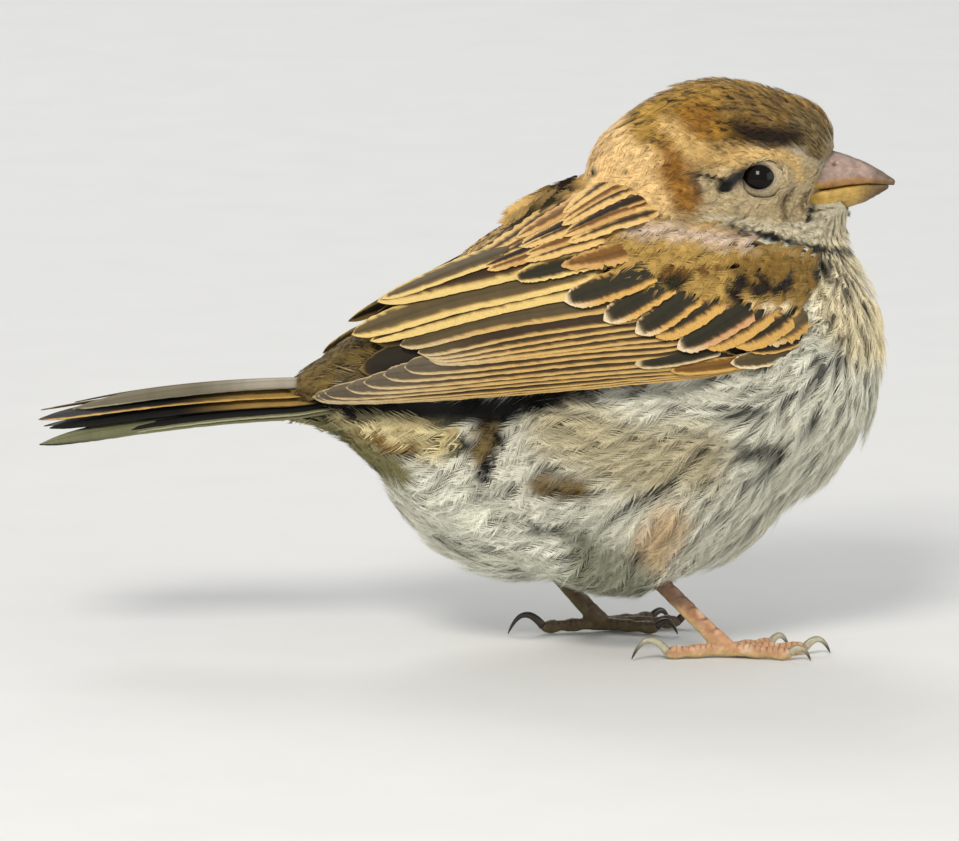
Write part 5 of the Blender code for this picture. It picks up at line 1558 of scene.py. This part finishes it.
LEG, LEG_EDGE, LEG_SEAM, SOLE = srgb(176, 132, 96), srgb(206, 172, 142), srgb(84, 54, 38), srgb(196, 168, 112)
# The third colour here is painted shade for the far leg.
LEG_STREAK, ANKLE_DARK, FAR_LEG_SHADED = srgb(140, 84, 44), srgb(66, 44, 28), srgb(84, 66, 40)
CLAW_PALE, CLAW_DARK = srgb(172, 166, 140), srgb(46, 38, 30)
FLAT = (1.0, 1.0, 0.0)  # keeps where a point stands on the ground
LEG_VOXEL, LEG_ROUNDS, LEG_STATIONS = 0.2, 5, 24
ANKLE_DEPTH, ANKLE_OVERLAP = 0.8, 0.18  # how much of the tarsus is its top, and how far the shank passes it
JOINT_HEIGHT, TOE_HEIGHT, TOE_END_RISE = 1.5, 1.25, 0.35  # where the shank and the toes meet and the toes end
SHANK_RADII, SHANK_SIDES = ((0.0, 0.3, 0.8, 1.0), (1.5, 1.25, 1.3, 1.55)), 20
TOE_RADII, TOE_SIDES = ((0.0, 0.15, 0.8, 1.0), (1.2, 1.0, 0.95, 0.8)), 18
TOE_PAD, TOE_PADS, PAD_START = 0.2, 2.5, 0.5  # how far pads swell, how many there are and where they start
TUBE_BREADTH = 0.72  # how broad a tube is for its height
SCUTE_PITCH, TARSUS_PITCH, SCUTE_DEPTH, LUMPS = 0.9, 2.1, 0.07, 0.07
TOE_TOP = (4.6, 3.0)  # between which heights the toes' scutes take over from the tarsus's
CLAW_STATIONS, CLAW_SIDES = 20, 14
CLAW_HALF = 0.6  # half its least thickness at the toe
CLAW_RISE, CLAW_TIP_RISE, CLAW_TAPER, CLAW_POINT = 0.5, 0.12, 0.6, 0.05
# painted shade: the far foot's claws darkened
FAR_CLAW_SHADED = CLAW_DARK * 1.6


def claw_form(side_name, toe):
    """Where a claw starts, half its thickness there, where it ends and how high it arches."""
    points, _ = grown(f"claw_{toe}_{side_name}", 0.0)
    reach = np.linalg.norm(points[:, :2] - frame_joint(side_name)[:2], axis=1)
    base = points[reach < reach.min() + 0.5]
    half = max(float(np.ptp(base[:, 2])) / 2, CLAW_HALF)
    return base.mean(0), half, points[reach.argmax()], float(points[:, 2].max())


def leg_shells(side_name):
    """The shank and the four toes as tubes that overlap at the joint."""
    joint = frame_joint(side_name) + (0.0, 0.0, JOINT_HEIGHT)
    shank, _ = grown(f"tarsus_{side_name}", 0.0)
    ankle = shank[shank[:, 2] > shank[:, 2].max() - ANKLE_DEPTH].mean(0)
    share = np.linspace(0.0, 1.0, LEG_STATIONS)
    top = ankle + (ankle - joint) * ANKLE_OVERLAP
    shells = [tube(blend(top, joint, share), np.interp(share, *SHANK_RADII), SHANK_SIDES)]
    start = joint * FLAT + (0.0, 0.0, TOE_HEIGHT)
    pads = TOE_PAD * np.sin(share * 2 * math.pi * TOE_PADS + PAD_START)
    for toe in TOES:
        end, half, _, _ = claw_form(side_name, toe)
        end = end * FLAT + (0.0, 0.0, half + TOE_END_RISE)
        shells.append(tube(blend(start, end, share), np.interp(share, *TOE_RADII) + pads * share, TOE_SIDES))
    return shells


def scute_grooves(points, normals, on_toe, joint):
    """How fully each point lies in a groove between scutes, on the tops of the toes and the shank's front."""
    flat = points[:, :2] - joint[:2]
    reach = np.linalg.norm(flat, axis=1)
    wander = noise_values(points, 2.2)
    toe_wave = np.sin((reach + 0.12 * wander) * 2 * math.pi / SCUTE_PITCH)
    shank_wave = np.sin((points[:, 2] - flat[:, 0] * 0.3 + 0.3 * wander) * 2 * math.pi / TARSUS_PITCH)
    wave = toe_wave * on_toe * smoothstep(0.8, 2.2, reach) + shank_wave * (1.0 - on_toe)
    toe_top, shank_front = smoothstep(-0.1, 0.6, normals[:, 2]), smoothstep(-0.3, 0.4, normals[:, 0])
    return smoothstep(0.6, 0.97, wave) * (toe_top * on_toe + shank_front * (1.0 - on_toe))


def leg_colours(points, normals, on_toe, groove):
    """Flesh colour with pale edges and brown streaks, dark grooves and pale soles."""
    shade = noise_values(points, 1.1) * 0.16 + noise_values(points, 0.4) * 0.10 + 1.0
    streak = smoothstep(0.55, 0.1, np.abs(normals[:, 0] * 0.55 + normals[:, 2] * 0.45)) * (1.0 - on_toe)
    colours = blend(LEG, LEG_EDGE, smoothstep(-0.1, 0.6, noise_values(points, 1.7)))
    colours = blend(colours, LEG_STREAK, streak * 0.55) * shade[:, None]
    colours = blend(colours, SOLE, smoothstep(0.1, -0.5, normals[:, 2]) * 0.8)
    return blend(colours, LEG_SEAM, groove * 0.7)


def leg(side_name, skin_mat, claw_mat):
    """One leg: tarsus and toes as one scaled skin, and four claws."""
    form, faces, normals = fused(f"leg_{side_name}_form", leg_shells(side_name), LEG_VOXEL, LEG_ROUNDS)
    on_toe = smoothstep(*TOE_TOP, form[:, 2])
    groove = scute_grooves(form, normals, on_toe, frame_joint(side_name))
    points = form + normals * (LUMPS * noise_values(form, 0.8) - groove * SCUTE_DEPTH)[:, None]
    points[:, 2] = np.maximum(points[:, 2], 0.0)
    colours = leg_colours(points, normals, on_toe, groove)
    colours = blend(colours, ANKLE_DARK, smoothstep(6.0, 9.0, form[:, 2]) * 0.85)
    # painted shade: the far leg darkened as a whole
    if side_name == "left":
        colours = colours * FAR_LEG_SHADED / LEG
    nodes = [f"tarsus_{side_name}"] + [f"toe_{toe}_{side_name}" for toe in TOES]
    finish_form(f"leg_{side_name}", points, faces, colours, skin_mat, nodes)
    for toe in TOES:
        claw(side_name, toe, claw_mat)


def frame_joint(side_name):
    """Where the leg's toes meet, from the middle of its sole mount in the record."""
    for mount in frame["record"]["mounts"]:
        if mount["name"] == f"sole_{side_name}":
            return np.array(mount["pos_m"]) / MM
    raise ValueError(side_name)


def noise_values(points, size):
    """Smooth noise of about -1 to 1 at each point, with features of the given size."""
    return np.array([noise.noise(Vector(point) / size) for point in points])


def claw(side_name, toe, material):
    """A curved, tapering claw from the end of its toe to its tip on the ground."""
    node = f"claw_{toe}_{side_name}"
    start, half, end, high = claw_form(side_name, toe)
    start = start * FLAT + (0.0, 0.0, half + CLAW_RISE)
    end = end * FLAT + (0.0, 0.0, CLAW_TIP_RISE)
    top = max(high - half * 0.6, start[2] + 0.3)
    along = np.linspace(0.0, 1.0, CLAW_STATIONS)
    apex = start * 0.4 + end * 0.6
    apex[2] = 2.0 * top - (start[2] + end[2]) / 2
    weights = ((1 - along) ** 2, 2 * along * (1 - along), along**2)
    line = sum(point * weight[:, None] for point, weight in zip((start, apex, end), weights))
    points, faces = tube(line, half * (1.0 - along) ** CLAW_TAPER + CLAW_POINT, CLAW_SIDES)
    points[:, 2] = np.maximum(points[:, 2], 0.0)
    # the far claws are in painted shade
    pale = CLAW_PALE if side_name == "right" else FAR_CLAW_SHADED
    upward = np.sin(2 * math.pi * np.arange(CLAW_SIDES) / CLAW_SIDES)
    share, back = np.repeat(along, CLAW_SIDES), np.tile(smoothstep(0.2, 0.9, upward), CLAW_STATIONS)
    mix = np.concatenate((np.maximum(back * 0.5, smoothstep(0.45, 1.0, share)), (0.0, 1.0)))
    colours = blend(pale, CLAW_DARK, mix)
    finish_form(f"horn_{toe}_{side_name}", points, faces, colours, material, (node,))


def tube(line, radii, sides):
    """A closed tube round a line in an upright plane, taller than it is wide."""
    ahead = unit(np.gradient(line, axis=0))
    across = unit(np.cross(ahead, (0.0, 0.0, 1.0)))
    up = unit(np.cross(across, ahead))
    turn = 2 * math.pi * np.arange(sides) / sides
    ring = across[:, None] * (TUBE_BREADTH * np.cos(turn))[:, None] + up[:, None] * np.sin(turn)[:, None]
    points = line[:, None] + ring * radii[:, None, None]
    points = np.concatenate((points.reshape(-1, 3), line[:1], line[-1:] + ahead[-1:] * radii[-1]))
    grid = np.arange(len(line) * sides).reshape(len(line), sides)
    a, b = grid[:-1], grid[1:]
    walls = halved(a, b, np.roll(b, -1, axis=1), np.roll(a, -1, axis=1))
    first, last = len(points) - 2, len(points) - 1
    start = np.stack((np.full(sides, first), grid[0], np.roll(grid[0], -1)), 1)
    end = np.stack((np.full(sides, last), np.roll(grid[-1], -1), grid[-1]), 1)
    return points, np.concatenate((walls, start, end))


# --- skin object ------------------------------------------------------------------------------------------


def skin_object(skin, material, rng):
    """The skin as one piece, with the lids' rings, coloured like the down that covers it and darkened as
    painted shade.
    """
    points, faces = skin.points, skin.faces
    # painted shade: the skin darkened so that the gaps between feathers read dark, less so on the head
    shade = np.where(points[:, 2:] > HEAD_HEIGHT, HEAD_DOWN_AND_SHADE, SKIN_DOWN_AND_SHADE)
    colours = markings(points, BODY_MARKS)[0] * shade
    for side in SIDES.values():
        ring, ring_faces = lid_ring(side, rng)
        faces = np.concatenate((faces, ring_faces + len(points)))
        points = np.concatenate((points, ring))
        colours = np.concatenate((colours, lid_colours(ring, side)))
    made = mesh_object("skin", points, faces)
    paint_points(made.data, colours)
    bake_map(made.data, skin_map(points, faces))
    register(made, material, FLESH)


def skin_map(points, faces):
    """The unwrap of the skin, with the faces that cross its seam kept whole."""
    corners = body_map(points)[faces]
    wide = np.ptp(corners[:, :, 0], axis=1) > 0.5
    low = corners[wide, :, 0] < 0.5
    corners[wide, :, 0] += low * SEAM_SPAN
    return np.clip(corners, 0.0, 1.0)


# --- stage ------------------------------------------------------------------------------------------------

FRAME_WIDTH = 143.1 * MM  # how much of the bird's plane the picture shows
CAMERA_DISTANCE, SENSOR, CAMERA_REACH = 1.5, 36.0, (0.05, 20.0)
CAMERA_LIFT = math.radians(10.0)
AIM = Vector((2.0, 0.0, 33.9)) * MM
FLOOR_HALF, FLOOR_HEIGHT = 3.0, -0.0001  # in metres
SKY, SKY_STRENGTH = (0.97, 0.98, 1.0, 1.0), 0.62
LIGHT_TARGET = Vector((0.01, 0.0, 0.045))
# Each light: name, place and size in metres, power in watts, colour.
LIGHTS = (
    ("key", (-0.22, -0.85, 0.8), 0.35, 10.2, (1.0, 0.96, 0.88)),
    ("fill", (1.1, -0.5, 0.3), 0.8, 4.5, (1.0, 0.98, 0.93)),
    ("rim", (-0.2, 0.9, 0.9), 0.6, 5.0, (1.0, 1.0, 1.0)),
)


def aimed(name, data, place, towards):
    """A light or camera at a place, that looks the given way."""
    made = placed(name, data)
    made.location = place
    made.rotation_mode = "QUATERNION"
    made.rotation_quaternion = towards.to_track_quat("-Z", "Y")
    return made


def floor():
    """A pale floor just below the soles."""
    form = bmesh.new()
    corners = ((-1, -1), (1, -1), (1, 1), (-1, 1))
    form.faces.new([form.verts.new((x * FLOOR_HALF, y * FLOOR_HALF, FLOOR_HEIGHT)) for x, y in corners])
    mesh = bpy.data.meshes.new("floor")
    form.to_mesh(mesh)
    form.free()
    made = placed("floor", mesh)
    made.data.materials.append(floor_material())
    made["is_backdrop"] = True


def lighting():
    """A pale sky, and soft lights from the front left, ahead and behind."""
    world = bpy.data.worlds.new("studio")
    bpy.context.scene.world = world
    world.use_nodes = True
    background = world.node_tree.nodes["Background"]
    background.inputs["Color"].default_value = SKY
    background.inputs["Strength"].default_value = SKY_STRENGTH
    for name, place, size, power, colour in LIGHTS:
        data = bpy.data.lights.new(name, "AREA")
        data.size, data.energy, data.color = size, power, colour
        aimed(name, data, place, LIGHT_TARGET - Vector(place))


def camera():
    """A camera that sees the bird's right side from a little above."""
    data = bpy.data.cameras.new("camera")
    data.sensor_width = SENSOR
    data.lens = SENSOR * CAMERA_DISTANCE / FRAME_WIDTH
    data.clip_start, data.clip_end = CAMERA_REACH
    back = Vector((0.0, -math.cos(CAMERA_LIFT), math.sin(CAMERA_LIFT)))
    bpy.context.scene.camera = aimed("camera", data, AIM + back * CAMERA_DISTANCE, -back)
    bpy.context.scene.view_settings.view_transform = "Standard"


# --- assembly ---------------------------------------------------------------------------------------------


BREAST_TRACTS = ("breast", "belly", "flank", "vent")


def write_sizes():
    """Works out the boxes of the CAD and of the visual model, as lists of corners."""
    boxes = {"cad": CAD_BOX, "visual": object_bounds()}
    sizes = {name: [[float(v) for v in corner] for corner in box] for name, box in boxes.items()}


def main():
    """Builds the bird and its stage."""
    rng = np.random.default_rng(SEED)
    guides = Guides(GUIDES)
    skin = Skin(guides)
    body = plumage_material("plumage_body", 3.0, 0.10, 0.8, 0.06)
    flight = plumage_material("plumage_flight", 3.4, 0.22, 0.65, 0.04)
    skin_object(skin, skin_material(), rng)
    coats = {f"{tract}_{side}": Coat() for tract in np.unique(guides.tracts) for side in SIDES}
    grow_coat(skin, guides, rng, coats)
    for name, coat in coats.items():
        grey = name.split("_")[0] in BREAST_TRACTS
        coat.build(f"coat_{name}", body, "plumage_grey" if grey else "plumage_brown")
    leg_mat = stored_material("leg_scales", 0.55, 0.85, 1.15, 1600.0, 0.04)
    claw_mat = stored_material("claw_grain", 0.3, 0.8, 1.15, 1400.0, 0.02)
    wet = eye_material()
    for side_name in SIDES:
        wing_feathers(side_name, flight, rng)
        shoulder_feathers(side_name, body, rng)
        tail_feathers(side_name, flight, rng)
        eyeball(side_name, wet)
        leg(side_name, leg_mat, claw_mat)
    bill(stored_material("bill_horn_grain", 0.38, 0.85, 1.12, 900.0, 0.03, (1.0, 2.5, 2.5)))
    floor()
    lighting()
    camera()
    write_sizes()


main()
